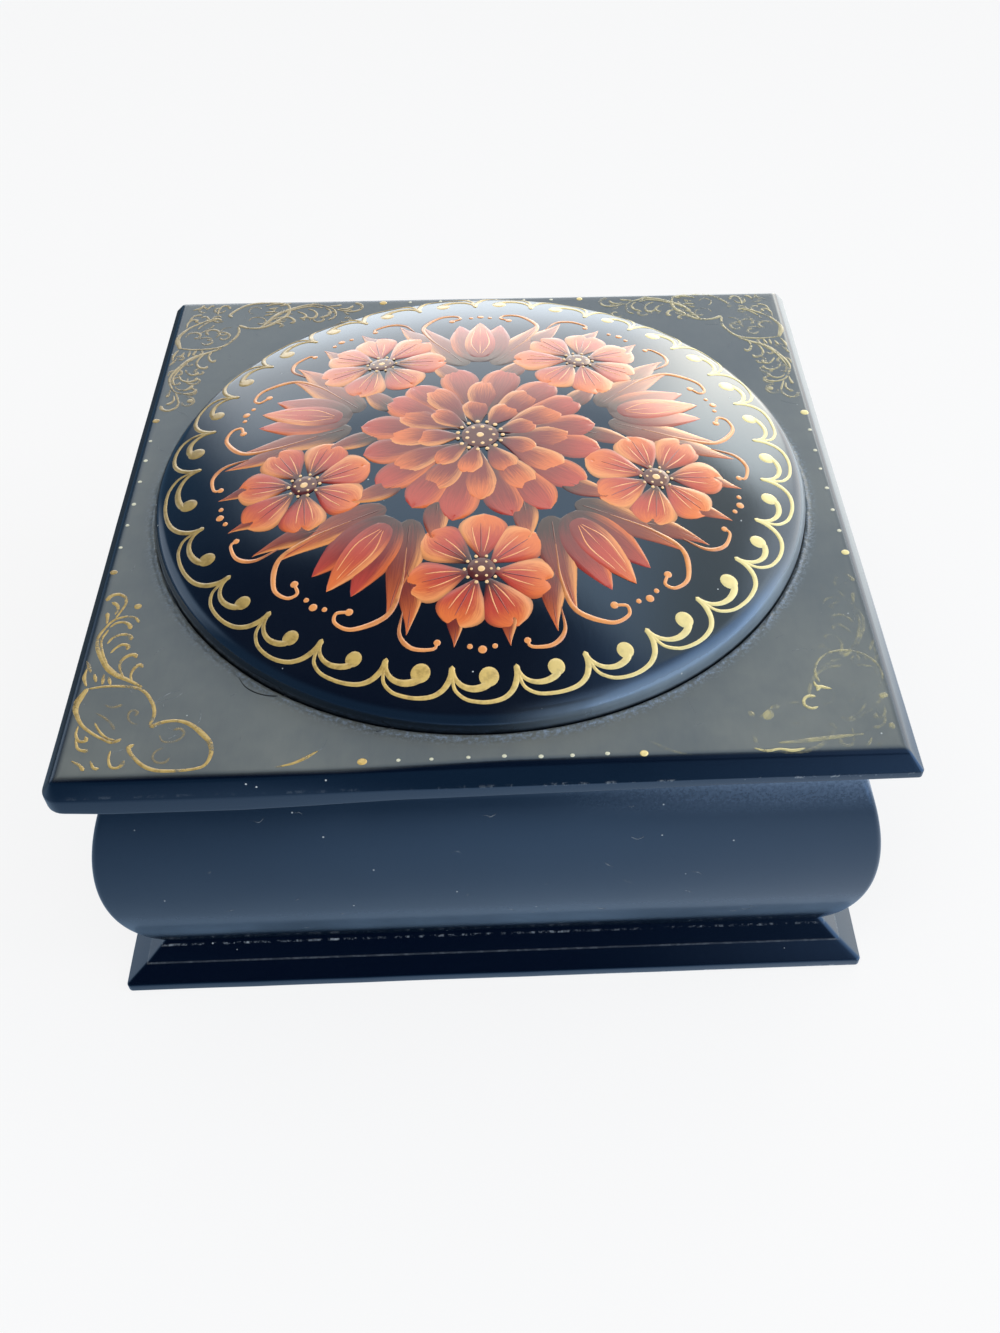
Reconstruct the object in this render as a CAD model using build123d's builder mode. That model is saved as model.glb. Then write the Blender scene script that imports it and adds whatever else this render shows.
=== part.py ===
from build123d import *
from math import atan2, degrees, isclose
import os

# Square lacquer box with bulging mitred walls, a moulded base board and a hinged lid with a domed disc.
# Millimetres, +Z up, front towards -Y. The origin is the centre of the underside of the base board.

# Walls, joined by mitres at the corners
neck_width = 90.7  # outer width at the foot and under the lid
wall_height = 36.95
wall_bulge = 3.9  # how far a wall swells beyond its foot
neck_height = 4.4  # straight band under the lid
neck_hollow = 8.0  # radius where the bulge runs into the band
wall_thickness = 6.0  # at the neck
wall_corner_ease = 0.8

# Base board
base_projection = 5.15  # beyond the foot of the walls
base_height = 4.45
base_edge_height = 1.45  # upright edge at the table
base_ridge_height = 2.75  # where the flat slope meets the steeper one
base_ridge_inset = 2.7
base_corner_ease = 0.6

# Lid board
lid_overhang = 4.65  # beyond the neck of the walls
lid_thickness = 3.75
lid_lip_height = 1.6  # upright edge below the bevel
lid_bevel_run = 1.75
lid_corner_ease = 0.5
lid_worn_corner = 2.1  # the front left corner is worn rounder
lid_top_corner_ease = 0.3
lid_ridge_round = 0.4
lid_gap = 0.2  # between the closed lid and the walls

# Domed disc, let into the lid board
disc_margin = 6.0  # from the edge of the lid board to the disc
disc_crown = 9.0  # middle of the dome above the lid board
disc_rim_height = 2.9  # where the dome would meet its upright rim
disc_rim_round = 2.5
disc_seat_depth = 0.8
disc_seat_gap = 0.2

# Two butt hinges
hinge_end_distance = 17.35  # from the end of the neck to the middle of the nearer hinge
leaf_width = 14.0
leaf_depth = 4.2  # part of a leaf that lies on the wall or the lid
leaf_thickness = 0.7
leaf_corner_ease = 0.4
barrel_diameter = 2.2
barrel_wall_gap = 0.3
knuckle_gap = 0.15
pin_diameter = 1.0
pin_clearance = 0.05
pin_head_diameter = 1.5
pin_head_height = 0.35
pin_head_ease = 0.15
mortise_gap = 0.1  # round the leaves
barrel_relief = 0.35  # round the barrels, in the lid board

# Countersunk screws
screw_diameter = 1.0
screw_head_diameter = 1.9
screw_head_height = 0.4
screw_length = 2.6
screw_spacing = 7.0
screw_slot_width = 0.28
screw_slot_depth = 0.16
screw_clearance = 0.04

# How far cuts run past what they cut
overrun = 5.0

# Widths and places that follow from the sizes above
belly_width = neck_width + 2 * wall_bulge
base_width = neck_width + 2 * base_projection
lid_width = neck_width + 2 * lid_overhang
disc_width = lid_width - 2 * disc_margin
wall_top = base_height + wall_height
neck_bottom = wall_top - neck_height
belly_middle = (base_height + neck_bottom) / 2
inner_width = neck_width - 2 * wall_thickness
lid_bottom = wall_top + lid_gap
lid_lip_top = lid_bottom + lid_lip_height
lid_top = lid_bottom + lid_thickness
disc_bottom = lid_top - disc_seat_depth
wall_back = neck_width / 2
barrel_radius = barrel_diameter / 2
hinge_y = wall_back + barrel_wall_gap + barrel_radius
hinge_z = wall_top + lid_gap / 2
leaf_front = wall_back - leaf_depth
screw_y = wall_back - leaf_depth / 2
knuckle_length = (leaf_width - 2 * knuckle_gap) / 3
bore_diameter = pin_diameter + 2 * pin_clearance
relief_radius = barrel_radius + barrel_relief
mortise_width = leaf_width + 2 * mortise_gap
plate_depth = hinge_y - relief_radius - leaf_front
relief_length = leaf_width + 2 * (pin_head_height + barrel_relief)
hinge_x_right = neck_width / 2 - hinge_end_distance
hinge_places = {"left": -hinge_x_right, "right": hinge_x_right}
screw_places = [(x + end * screw_spacing / 2, screw_y) for x in hinge_places.values() for end in (-1, 1)]
screw_hole_radius = screw_diameter / 2 + screw_clearance
countersink_radius = screw_head_diameter / 2 + screw_clearance
countersink_angle = 2 * degrees(atan2((screw_head_diameter - screw_diameter) / 2, screw_head_height))


# Shared shapes

def square_outline(height, width, ease, worn_ease):
    """A square with eased corners, the front left one eased by its own radius."""
    with BuildSketch(Plane.XY.offset(height)) as outline:
        Rectangle(width, width)
        corners = outline.vertices().sort_by(lambda corner: corner.X + corner.Y)
        fillet(corners[0], radius=worn_ease)
        corners = outline.vertices().sort_by(lambda corner: corner.X + corner.Y)
        fillet(corners[2:], radius=ease)
    return outline.sketch


def wall_outline(plane):
    """The four walls seen from one side: bulging, with a straight neck on top."""
    with BuildSketch(plane) as outline:
        with BuildLine():
            foot = Line((0, base_height), (neck_width / 2, base_height))
            bulge = ThreePointArc(foot @ 1, (belly_width / 2, belly_middle), (neck_width / 2, neck_bottom))
            neck = Line(bulge @ 1, (neck_width / 2, wall_top))
            Line(neck @ 1, (0, wall_top))
            mirror(about=Plane.YZ)
        make_face()
        fillet(outline.vertices().group_by(Axis.Y)[1], radius=neck_hollow)
    return outline.sketch


def wall_block():
    """The four walls as one frame, before the mitres part them."""
    with BuildPart() as block:
        extrude(wall_outline(Plane.XZ), amount=belly_width / 2 + overrun, both=True)
        extrude(wall_outline(Plane.YZ), amount=belly_width / 2 + overrun, both=True, mode=Mode.INTERSECT)
        corners = block.edges().filter_by(
            lambda edge: isclose(abs(edge.center().X), abs(edge.center().Y), rel_tol=0.001)
        )
        fillet(corners, radius=wall_corner_ease)
        with BuildSketch(Plane.XY.offset(base_height)):
            Rectangle(inner_width, inner_width)
        extrude(amount=wall_height, mode=Mode.SUBTRACT)
    return block.part


def leaf_outline(height, hinge_x, knuckle_shifts):
    """A hinge leaf seen from above: a plate with a tongue out to each of its own knuckles."""
    with BuildSketch(Plane.XY.offset(height)) as outline:
        with Locations((hinge_x, leaf_front)):
            Rectangle(leaf_width, plate_depth, align=(Align.CENTER, Align.MIN))
        fillet(outline.vertices().group_by(Axis.Y)[0], radius=leaf_corner_ease)
        with Locations(*[(hinge_x + shift, screw_y) for shift in knuckle_shifts]):
            Rectangle(knuckle_length, hinge_y - screw_y, align=(Align.CENTER, Align.MIN))
    return outline.sketch


def barrel_circle(x, diameter):
    """A circle about the hinge axis, square to it."""
    with BuildSketch(Plane.YZ.offset(x)) as circle:
        with Locations((hinge_y, hinge_z)):
            Circle(diameter / 2)
    return circle.sketch


os.makedirs("parts", exist_ok=True)

# Base board: an upright edge and two slopes up to the foot of the walls
with BuildPart() as base_board:
    ridge_width = base_width - 2 * base_ridge_inset
    loft(
        [
            square_outline(0, base_width, base_corner_ease, base_corner_ease),
            square_outline(base_edge_height, base_width, base_corner_ease, base_corner_ease),
            square_outline(base_ridge_height, ridge_width, base_corner_ease, base_corner_ease),
            square_outline(base_height, neck_width, base_corner_ease, base_corner_ease),
        ],
        ruled=True,
    )
base_board.part.label = "base_board"
export_step(base_board.part, "parts/base_board.step")

# Walls: each is the quarter of the frame between two mitre planes
wall_frame = wall_block()
for turn, wall_name in ((0, "front_wall"), (90, "right_wall"), (180, "back_wall"), (270, "left_wall")):
    mitre_faces = [Vector(1, 1, 0).rotate(Axis.Z, turn), Vector(-1, 1, 0).rotate(Axis.Z, turn)]
    with BuildPart() as wall:
        add(wall_frame)
        for face_normal in mitre_faces:
            split(bisect_by=Plane(origin=(0, 0, 0), z_dir=face_normal), keep=Keep.BOTTOM)
        if wall_name == "back_wall":
            # Mortises for the lower leaves, open to the back, and holes for their screws
            with BuildSketch(Plane.XY.offset(wall_top)):
                with Locations(*[(x, leaf_front - mortise_gap) for x in hinge_places.values()]):
                    Rectangle(mortise_width, leaf_depth + overrun, align=(Align.CENTER, Align.MIN))
            extrude(amount=-leaf_thickness, mode=Mode.SUBTRACT)
            with BuildSketch(Plane.XY.offset(wall_top)):
                with Locations(*screw_places):
                    Circle(screw_hole_radius)
            extrude(amount=-screw_length - screw_clearance, mode=Mode.SUBTRACT)
    wall.part.label = wall_name
    export_step(wall.part, f"parts/{wall_name}.step")

# Lid board: an upright lip, a bevel, the seat of the disc on top and the hinge cuts below
with BuildPart() as lid_board:
    loft(
        [
            square_outline(lid_bottom, lid_width, lid_corner_ease, lid_worn_corner),
            square_outline(lid_lip_top, lid_width, lid_corner_ease, lid_worn_corner),
            square_outline(lid_top, lid_width - 2 * lid_bevel_run, lid_top_corner_ease, lid_top_corner_ease),
        ],
        ruled=True,
    )
    fillet(lid_board.edges().group_by(Axis.Z)[-1], radius=lid_ridge_round)
    with BuildSketch(Plane.XY.offset(lid_top)):
        Circle(disc_width / 2 + disc_seat_gap)
    extrude(amount=-disc_seat_depth, mode=Mode.SUBTRACT)
    with BuildSketch(Plane.XY.offset(lid_bottom)):
        with Locations(*[(x, leaf_front - mortise_gap) for x in hinge_places.values()]):
            Rectangle(mortise_width, hinge_y - leaf_front, align=(Align.CENTER, Align.MIN))
    extrude(amount=leaf_thickness, mode=Mode.SUBTRACT)
    with BuildSketch(Plane.XY.offset(lid_bottom)):
        with Locations(*[(x, hinge_y) for x in hinge_places.values()]):
            Rectangle(relief_length, 2 * relief_radius)
    extrude(amount=hinge_z + relief_radius - lid_bottom, mode=Mode.SUBTRACT)
    with BuildSketch(Plane.XY.offset(lid_bottom)):
        with Locations(*screw_places):
            Circle(screw_hole_radius)
    extrude(amount=screw_length + screw_clearance, mode=Mode.SUBTRACT)
lid_board.part.label = "lid_board"
export_step(lid_board.part, "parts/lid_board.step")

# Domed disc: a shallow crown that rolls over into an upright rim
with BuildPart() as domed_disc:
    with BuildSketch(Plane.XZ) as disc_section:
        with BuildLine():
            underside = Line((0, disc_bottom), (disc_width / 2, disc_bottom))
            rim = Line(underside @ 1, (disc_width / 2, lid_top + disc_rim_height))
            crown = TangentArc((0, lid_top + disc_crown), rim @ 1, tangent=(1, 0))
            Line(crown @ 0, underside @ 0)
        make_face()
        fillet(disc_section.vertices().group_by(Axis.X)[-1].sort_by(Axis.Y)[-1], radius=disc_rim_round)
    revolve(axis=Axis.Z)
domed_disc.part.label = "domed_disc"
export_step(domed_disc.part, "parts/domed_disc.step")

# Hinges: the lower leaf has the two outer knuckles, the upper leaf the middle one
outer_knuckle_shifts = (-knuckle_length - knuckle_gap, knuckle_length + knuckle_gap)
for side, hinge_x in hinge_places.items():
    leaf_screws = [(x, y) for x, y in screw_places if abs(x - hinge_x) < leaf_width / 2]

    with BuildPart() as lower_leaf:
        extrude(leaf_outline(wall_top, hinge_x, outer_knuckle_shifts), amount=-leaf_thickness)
        for shift in outer_knuckle_shifts:
            extrude(barrel_circle(hinge_x + shift, barrel_diameter), amount=knuckle_length / 2, both=True)
        extrude(barrel_circle(hinge_x, bore_diameter), amount=leaf_width, both=True, mode=Mode.SUBTRACT)
        with Locations(*[Plane(origin=(x, y, wall_top)) for x, y in leaf_screws]):
            CounterSinkHole(screw_hole_radius, countersink_radius, leaf_thickness, countersink_angle)
    lower_leaf.part.label = f"{side}_lower_leaf"
    export_step(lower_leaf.part, f"parts/{side}_lower_leaf.step")

    with BuildPart() as upper_leaf:
        extrude(leaf_outline(lid_bottom, hinge_x, (0,)), amount=leaf_thickness)
        extrude(barrel_circle(hinge_x, barrel_diameter), amount=knuckle_length / 2, both=True)
        extrude(barrel_circle(hinge_x, bore_diameter), amount=leaf_width, both=True, mode=Mode.SUBTRACT)
        with Locations(*[Plane(origin=(x, y, lid_bottom), z_dir=(0, 0, -1)) for x, y in leaf_screws]):
            CounterSinkHole(screw_hole_radius, countersink_radius, leaf_thickness, countersink_angle)
    upper_leaf.part.label = f"{side}_upper_leaf"
    export_step(upper_leaf.part, f"parts/{side}_upper_leaf.step")

    with BuildPart() as hinge_pin:
        extrude(barrel_circle(hinge_x, pin_diameter), amount=leaf_width / 2, both=True)
        for end in (-1, 1):
            head_seat = hinge_x + end * leaf_width / 2
            extrude(barrel_circle(head_seat, pin_head_diameter), amount=end * pin_head_height)
        rims = hinge_pin.edges().group_by(Axis.X)
        fillet(rims[0] + rims[-1], radius=pin_head_ease)
    hinge_pin.part.label = f"{side}_hinge_pin"
    export_step(hinge_pin.part, f"parts/{side}_hinge_pin.step")

# Screws: one countersunk screw, repeated head up in the walls and head down in the lid board
with BuildPart() as screw:
    with BuildSketch(Plane.XZ):
        with BuildLine():
            Polyline(
                (0, 0),
                (screw_head_diameter / 2, 0),
                (screw_diameter / 2, -screw_head_height),
                (screw_diameter / 2, screw_diameter / 2 - screw_length),
                (0, -screw_length),
                close=True,
            )
        make_face()
    revolve(axis=Axis.Z)
    with BuildSketch():
        Rectangle(screw_head_diameter + overrun, screw_slot_width)
    extrude(amount=-screw_slot_depth, mode=Mode.SUBTRACT)

with BuildPart() as wall_screws:
    with Locations(*[(x, y, wall_top) for x, y in screw_places]):
        add(screw.part)
wall_screws.part.label = "wall_screws"
export_step(wall_screws.part, "parts/wall_screws.step")

with BuildPart() as lid_screws:
    with Locations(*[Plane(origin=(x, y, lid_bottom), z_dir=(0, 0, -1)) for x, y in screw_places]):
        add(screw.part)
lid_screws.part.label = "lid_screws"
export_step(lid_screws.part, "parts/lid_screws.step")
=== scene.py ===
import math
import random

import bpy
import numpy as np
from bpy.props import FloatProperty, FloatVectorProperty, IntProperty, PointerProperty
from mathutils import Matrix, Vector, noise


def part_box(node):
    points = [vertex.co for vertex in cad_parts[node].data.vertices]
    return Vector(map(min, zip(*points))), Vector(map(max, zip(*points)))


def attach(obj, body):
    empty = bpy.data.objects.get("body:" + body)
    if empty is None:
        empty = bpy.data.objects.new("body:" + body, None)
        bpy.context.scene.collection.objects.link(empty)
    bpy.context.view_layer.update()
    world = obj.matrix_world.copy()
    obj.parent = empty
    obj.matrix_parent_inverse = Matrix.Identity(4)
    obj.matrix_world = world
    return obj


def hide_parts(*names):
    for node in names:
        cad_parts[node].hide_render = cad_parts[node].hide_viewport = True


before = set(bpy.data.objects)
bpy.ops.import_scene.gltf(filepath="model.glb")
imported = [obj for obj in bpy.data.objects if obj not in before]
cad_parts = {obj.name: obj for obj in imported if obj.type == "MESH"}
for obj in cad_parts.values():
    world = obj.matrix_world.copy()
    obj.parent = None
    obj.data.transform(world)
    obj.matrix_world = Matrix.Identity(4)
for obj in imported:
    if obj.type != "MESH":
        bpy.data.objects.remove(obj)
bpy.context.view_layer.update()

bl_info = {
    "name": "Lacquer box with a domed lid",
    "version": (1, 0, 0),
    "blender": (4, 5, 0),
    "location": "View3D > Sidebar > Lacquer Box",
    "description": "Finishes a square lacquer box: walls, base, hinged lid, painted disc and gold ornament",
    "category": "Object",
}

MM = 0.001


def box_corners(node):
    """The lowest and the highest corner of a node of the frame, in millimetres."""
    return [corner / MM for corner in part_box(node)]


# Sizes of the box, read from the frame in millimetres
base_low, base_high = box_corners("base_board")
wall_low, wall_high = box_corners("front_wall")
lid_low, lid_high = box_corners("lid_board")
disc_low, disc_high = box_corners("domed_disc")
base_half = base_high.x
base_top = base_high.z
belly_half = -wall_low.y
wall_top = wall_high.z
lid_half = lid_high.x
lid_bottom = lid_low.z
lid_top = lid_high.z
disc_radius = disc_high.x
disc_bottom = disc_low.z
disc_top = disc_high.z

# Profile sizes of the pieces, millimetres
neck_half = 45.35
neck_height = 4.4
neck_hollow = 8.0
wall_thickness = 6.0
wall_corner_ease = 0.8
inner_half = neck_half - wall_thickness
base_edge_height = 1.45
base_ridge_height = 2.75
base_ridge_inset = 2.7
base_corner_ease = 0.6
inner_corner_ease = 0.3
base_edge_rounds = (0.25, 0.35, 0.5, 0.2)  # from the underside up to the walls
lid_lip_height = 1.6
lid_bevel_run = 1.75
lid_corner_ease = 0.5
lid_worn_corner = 2.1
lid_top_corner_ease = 0.3
lid_lip_rounds = (0.3, 0.35)  # at the underside and at the top of the lip
disc_rim_height = 2.9
disc_rim_round = 2.5
leaf_thickness = 0.7
mortise_gap = 0.1
barrel_diameter = 2.2
barrel_relief = 0.35
crown_drop = 0.2  # keeps the paint on the dome below the top of the solid disc

# Hand-made unevenness of the lid board, millimetres
crevice_width = 0.12  # between the disc and the bead of glue or varnish round it
bead_width = 0.6
bead_height = 0.2
top_edge_round = 1.3
# Places along the front edge of the lid board, how far its lower edge stands above its true place there,
# and how far its upper edge comes forward
edge_places = (-50.0, -43.0, -28.0, -19.5, -10.0, 2.0, 13.0, 25.0, 50.0)
lip_rise = (-1.0, -1.5, -1.5, -1.1, -0.5, -0.2, 0.0, 0.4, 0.7)
edge_forward = (0.6, 0.85, 0.9, 0.8, 0.6, 0.2, 0.0, 0.0, 0.0)


# Settings that a user would change

def colour_setting(name, description, default):
    return FloatVectorProperty(
        name=name, description=description, default=default, min=0.0, max=1.0, size=3, subtype="COLOR",
    )


def length_setting(name, description, default, low, high):
    """A length whose default and limits are given in millimetres."""
    return FloatProperty(
        name=name, description=description, default=default * MM, min=low * MM, max=high * MM,
        unit="LENGTH", subtype="DISTANCE",
    )


class LacquerBoxSettings(bpy.types.PropertyGroup):
    wear: FloatProperty(
        name="Wear",
        description="How much dust, scratching and chipping the lacquer shows",
        default=1.0,
        min=0.0,
        max=2.0,
        subtype="FACTOR",
    )
    paint_relief: length_setting(
        "Paint relief", "How far a brush stroke stands above the lacquer", 0.05, 0.01, 0.2,
    )
    lacquer_colour: colour_setting("Lacquer", "Colour of the black lacquer", (0.0006, 0.0013, 0.0032))
    sheen_colour: colour_setting("Sheen", "Tint of what the lacquer mirrors straight on", (0.34, 0.62, 1.0))
    lining_colour: colour_setting("Lining", "Colour of the lacquer inside the box", (0.30, 0.012, 0.008))
    gold_colour: colour_setting("Gold", "Colour of the gold paint", (0.79, 0.55, 0.16))
    border_radius: length_setting(
        "Border radius", "Radius of the outer line of the scalloped border", 42.0, 30.0, 42.5,
    )
    hand_seed: IntProperty(
        name="Hand seed",
        description="Seed of the small unevenness of the hand painting",
        default=7,
        min=0,
    )


def settings():
    return bpy.context.scene.lacquer_box


# Shader maths

def maths_method(operation, swapped=False):
    """A method that feeds a socket and another value to a Math node, or the other value first if swapped."""
    def method(socket, other):
        values = (other, socket) if swapped else (socket, other)
        return socket.shader.add("ShaderNodeMath", {"operation": operation}, dict(enumerate(values)))
    return method


class Socket:
    """An output of a shader node that adds Math nodes when it is used in an expression."""

    __add__ = __radd__ = maths_method("ADD")
    __mul__ = __rmul__ = maths_method("MULTIPLY")
    __sub__ = maths_method("SUBTRACT")
    __rsub__ = maths_method("SUBTRACT", swapped=True)
    __pow__ = maths_method("POWER")
    most = maths_method("MAXIMUM")

    def __init__(self, shader, output):
        self.shader = shader
        self.output = output

    def __abs__(self):
        return self.shader.add("ShaderNodeMath", {"operation": "ABSOLUTE"}, {0: self})

    def step(self, low, high):
        """0 below low and 1 above high, with a smooth rise between, or a fall where low is the larger."""
        start, end = (0.0, 1.0) if low < high else (1.0, 0.0)
        return self.shader.add(
            "ShaderNodeMapRange",
            {"interpolation_type": "SMOOTHSTEP"},
            {"Value": self, "From Min": min(low, high), "From Max": max(low, high),
             "To Min": start, "To Max": end},
        )


class Shader:
    """The nodes of a new material, or of a world."""

    def __init__(self, name="", world=None):
        self.owner = world or bpy.data.materials.new(name)
        self.owner.use_nodes = True
        self.tree = self.owner.node_tree
        self.tree.nodes.clear()

    def feed(self, socket, value):
        if isinstance(value, Socket):
            self.tree.links.new(value.output, socket)
        elif socket.type == "RGBA":
            socket.default_value = (*value[:3], 1.0)
        else:
            socket.default_value = value

    def add(self, kind, choices=None, values=None, output=0):
        """A node of that kind, with its settings made first, then its values and links. Gives one output."""
        node = self.tree.nodes.new(kind)
        for name, choice in (choices or {}).items():
            setattr(node, name, choice)
        for name, value in (values or {}).items():
            self.feed(node.inputs[name], value)
        return Socket(self, node.outputs[output]) if node.outputs else None

    def mix(self, factor, first, second):
        """A colour between two colours."""
        return self.add("ShaderNodeMix", {"data_type": "RGBA"}, {0: factor, 6: first, 7: second}, 2)

    def place(self, stretch=(1.0, 1.0, 1.0)):
        """The point on the piece in millimetres, stretched."""
        point = self.add("ShaderNodeTexCoord", output="Object")
        scale = [share / MM for share in stretch]
        return self.add("ShaderNodeVectorMath", {"operation": "MULTIPLY"}, {0: point, 1: scale})

    def axes(self, vector):
        split = self.add("ShaderNodeSeparateXYZ", values={0: vector})
        return [Socket(self, output) for output in split.output.node.outputs]

    def noise(self, vector, scale, detail=3.0, roughness=0.5):
        values = {"Vector": vector, "Scale": scale, "Detail": detail, "Roughness": roughness}
        return self.add("ShaderNodeTexNoise", values=values)

    def cells(self, vector, scale):
        """The distance to the nearest of many scattered points, and a number of its own for each point."""
        values = {"Vector": vector, "Scale": scale}
        distance = self.add("ShaderNodeTexVoronoi", values=values, output="Distance")
        colour = Socket(self, distance.output.node.outputs["Color"])
        own = self.add("ShaderNodeSeparateColor", values={0: colour})
        return distance, own

    def attribute(self, name):
        return self.add("ShaderNodeAttribute", {"attribute_name": name}, output="Fac")

    def bump(self, height, distance, normal=None):
        values = {"Height": height, "Distance": distance}
        if normal:
            values["Normal"] = normal
        return self.add("ShaderNodeBump", values=values)

    def finish(self, **values):
        """The Principled shader, with each value given by the name of its socket."""
        named = {name.replace("_", " "): value for name, value in values.items()}
        surface = self.add("ShaderNodeBsdfPrincipled", values=named)
        self.add("ShaderNodeOutputMaterial", values={"Surface": surface})
        return self.owner


# Finishes

dust_white = (0.60, 0.64, 0.64)
# Scuffed lacquer with a painted bluish sheen
scuff_and_painted_sheen_blue = (0.23, 0.32, 0.46)
# Pale chips, and painted highlights along edges
chip_and_highlight_grey = (0.50, 0.54, 0.56)
seam_grey = (0.22, 0.27, 0.33)
greyed_gold = (0.40, 0.37, 0.27)


def dust_specks(shader, place, share, size):
    """White specks of dust: 1 on a speck."""
    distance, own = shader.cells(place, 0.9)
    return distance.step(size, size * 0.5) * own.step(1.0 - share, 1.0 - share * 0.9)


def lacquer(
    name, gloss, film=0.2, film_and_painted_light_place=None, film_and_painted_light_colour=(0.05, 0.07, 0.09), speck=0.03,
    waviness=0.5, chips=None, scuffs_and_sheen=None, rough=None,
):
    """Blue-black lacquer with a dull film, specks of dust and, by place, chips, scuffed lacquer and a rough
    seam. By place the film also holds a painted reflection and painted shade, the chips painted highlights
    and the scuffed lacquer a painted sheen.
    """
    wear = settings().wear
    shader = Shader(name)
    place = shader.place()
    cloud = shader.noise(place, 0.06, 4.0, 0.6)
    grain = shader.noise(shader.place((1.0, 0.3, 1.0)), 1.4, 4.0, 0.6)
    dust = dust_specks(shader, place, speck * wear, 0.13)
    film_and_painted_light = (cloud.step(0.30, 0.75) * 0.35 + grain * 0.15 + 0.5) * film
    # By place the film thickens into a painted reflection on the walls and the rim, and thins as painted
    # shade on the lid
    if film_and_painted_light_place:
        film_and_painted_light = film_and_painted_light * film_and_painted_light_place(shader, place)
    base = shader.mix(film_and_painted_light, settings().lacquer_colour, film_and_painted_light_colour)
    base = shader.mix(dust, base, dust_white)
    bare = dust
    # Scuffed lacquer, with a painted bluish sheen where the mask asks for it
    if scuffs_and_sheen:
        scuff_and_sheen = scuffs_and_sheen(shader, place)
        base = shader.mix(scuff_and_sheen, base, scuff_and_painted_sheen_blue)
        bare = bare.most(scuff_and_sheen * 0.25)
    # Chips, and painted highlights along some edges
    if chips:
        chip_and_highlight = chips(shader, place)
        base = shader.mix(chip_and_highlight, base, chip_and_highlight_grey)
        bare = bare.most(chip_and_highlight)
    if rough:
        seam = rough(shader, place)
        base = shader.mix(seam, base, seam_grey)
        bare = bare.most(seam * 0.5)
    roughness = film_and_painted_light * 0.25 + grain * 0.05 + gloss + bare * 0.4
    peel = shader.noise(place, 0.22, 2.0)
    bump = shader.bump(peel, 0.02 * waviness * MM)
    bump = shader.bump(grain + dust * 3.0, 0.004 * MM, normal=bump)
    return shader.finish(
        Base_Color=base,
        Roughness=roughness,
        IOR=1.8,
        Specular_Tint=settings().sheen_colour,
        Coat_Weight=(1.0 - bare) * 0.35,
        Coat_Roughness=gloss * 0.6,
        Coat_IOR=1.5,
        Normal=bump,
    )


def foot_chips_and_highlights(shader, place):
    """Broken pale lines where the walls meet the base, along its ridge and along its bottom edge: partly
    chips and partly painted highlights, those of the bottom edge only towards the right.
    """
    x, y, z = shader.axes(place)
    out = abs(x).most(abs(y))
    near_foot = abs(out - (neck_half + 0.5)).step(0.17, 0.05) * z.step(base_top - 0.9, base_top - 0.2)
    near_ridge = abs(out - (base_half - base_ridge_inset)).step(0.16, 0.04) * 0.16
    near_edge = z.step(0.55, 0.15) * out.step(base_half - 0.6, base_half - 0.2)
    broken = shader.noise(place, 0.9, 5.0, 0.75).step(0.47, 0.62)
    sparse = shader.noise(place, 0.16, 2.0).step(0.40, 0.58)
    right = x.step(-20.0, 25.0)
    foot = near_foot * broken * (sparse * 0.6 + 0.25)
    ridge = near_ridge * (broken * 0.6 + 0.4)
    return foot + ridge + near_edge * broken * sparse * right


def front_neck(y, z):
    """1 on the outside of the front wall below its top edge."""
    return y.step(-42.0, -45.0) * z.step(wall_top - 0.2, wall_top - 0.6)


def neck_scuffs_and_painted_sheen(shader, place):
    """Rubbed lacquer with a painted bluish sheen just under the lid, mostly at the right of the front."""
    x, y, z = shader.axes(place)
    band = z.step(wall_top - 9.5, wall_top - 3.5) * front_neck(y, z)
    mottle = shader.noise(place, 2.6, 6.0, 0.75).step(0.36, 0.66)
    return band * x.step(2.0, 38.0) * (mottle * 0.5 + 0.38)


def neck_chips(shader, place):
    """Small pale chips just under the lid, at the right of the front."""
    x, y, z = shader.axes(place)
    band = z.step(wall_top - 4.8, wall_top - 3.0) * front_neck(y, z)
    return band * x.step(12.0, 34.0) * shader.noise(place, 1.5, 5.0, 0.8).step(0.56, 0.63) * 0.9


def crevice_bead(shader, place):
    """The rough seam outside the foot of the disc, palest at the right and the front right."""
    x, y, z = shader.axes(place)
    radius = (x * x + y * y) ** 0.5
    ring = radius.step(disc_radius + 0.05, disc_radius + 0.3)
    ring = ring * radius.step(disc_radius + 2.0, disc_radius + 0.5)
    mottle = shader.noise(place, 2.2, 6.0, 0.8).step(0.46, 0.62)
    right = (x - y * 0.5).step(-30.0, 45.0) * 0.5 + 0.5
    return ring * mottle * right * z.step(lid_top - 0.6, lid_top - 0.2)


def flat_top(shader, place):
    """The film on the flat of the lid board: 1 at most, thinned at the back and right as painted shade, 0 on
    the bevel.
    """
    x, y, z = shader.axes(place)
    out = abs(x).most(abs(y) - y.step(-30.0, -47.0) * x.step(5.0, -18.0) * 0.85)
    flat = out.step(lid_half - lid_bevel_run - 0.1, lid_half - lid_bevel_run - 1.1)
    painted_shade_right = x.step(15.0, 45.0) * y.step(-38.0, -18.0) * 0.28
    painted_shade_back = y.step(2.0, 30.0) * (x.step(0.0, 28.0) * 0.24 + 0.34)
    return flat * z.step(lid_top - 0.5, lid_top - 0.1) * (1.0 - painted_shade_right.most(painted_shade_back))


def wall_film_and_painted_reflection(shader, place):
    """Dull film on the walls, with a painted reflection of the pale floor where it is thickest low down, gone
    just above the base.
    """
    x, y, z = shader.axes(place)
    return z.step(base_top + 13.0, base_top + 6.0) * z.step(base_top + 3.0, base_top + 6.0) * 19.0 + 1.0


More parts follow.
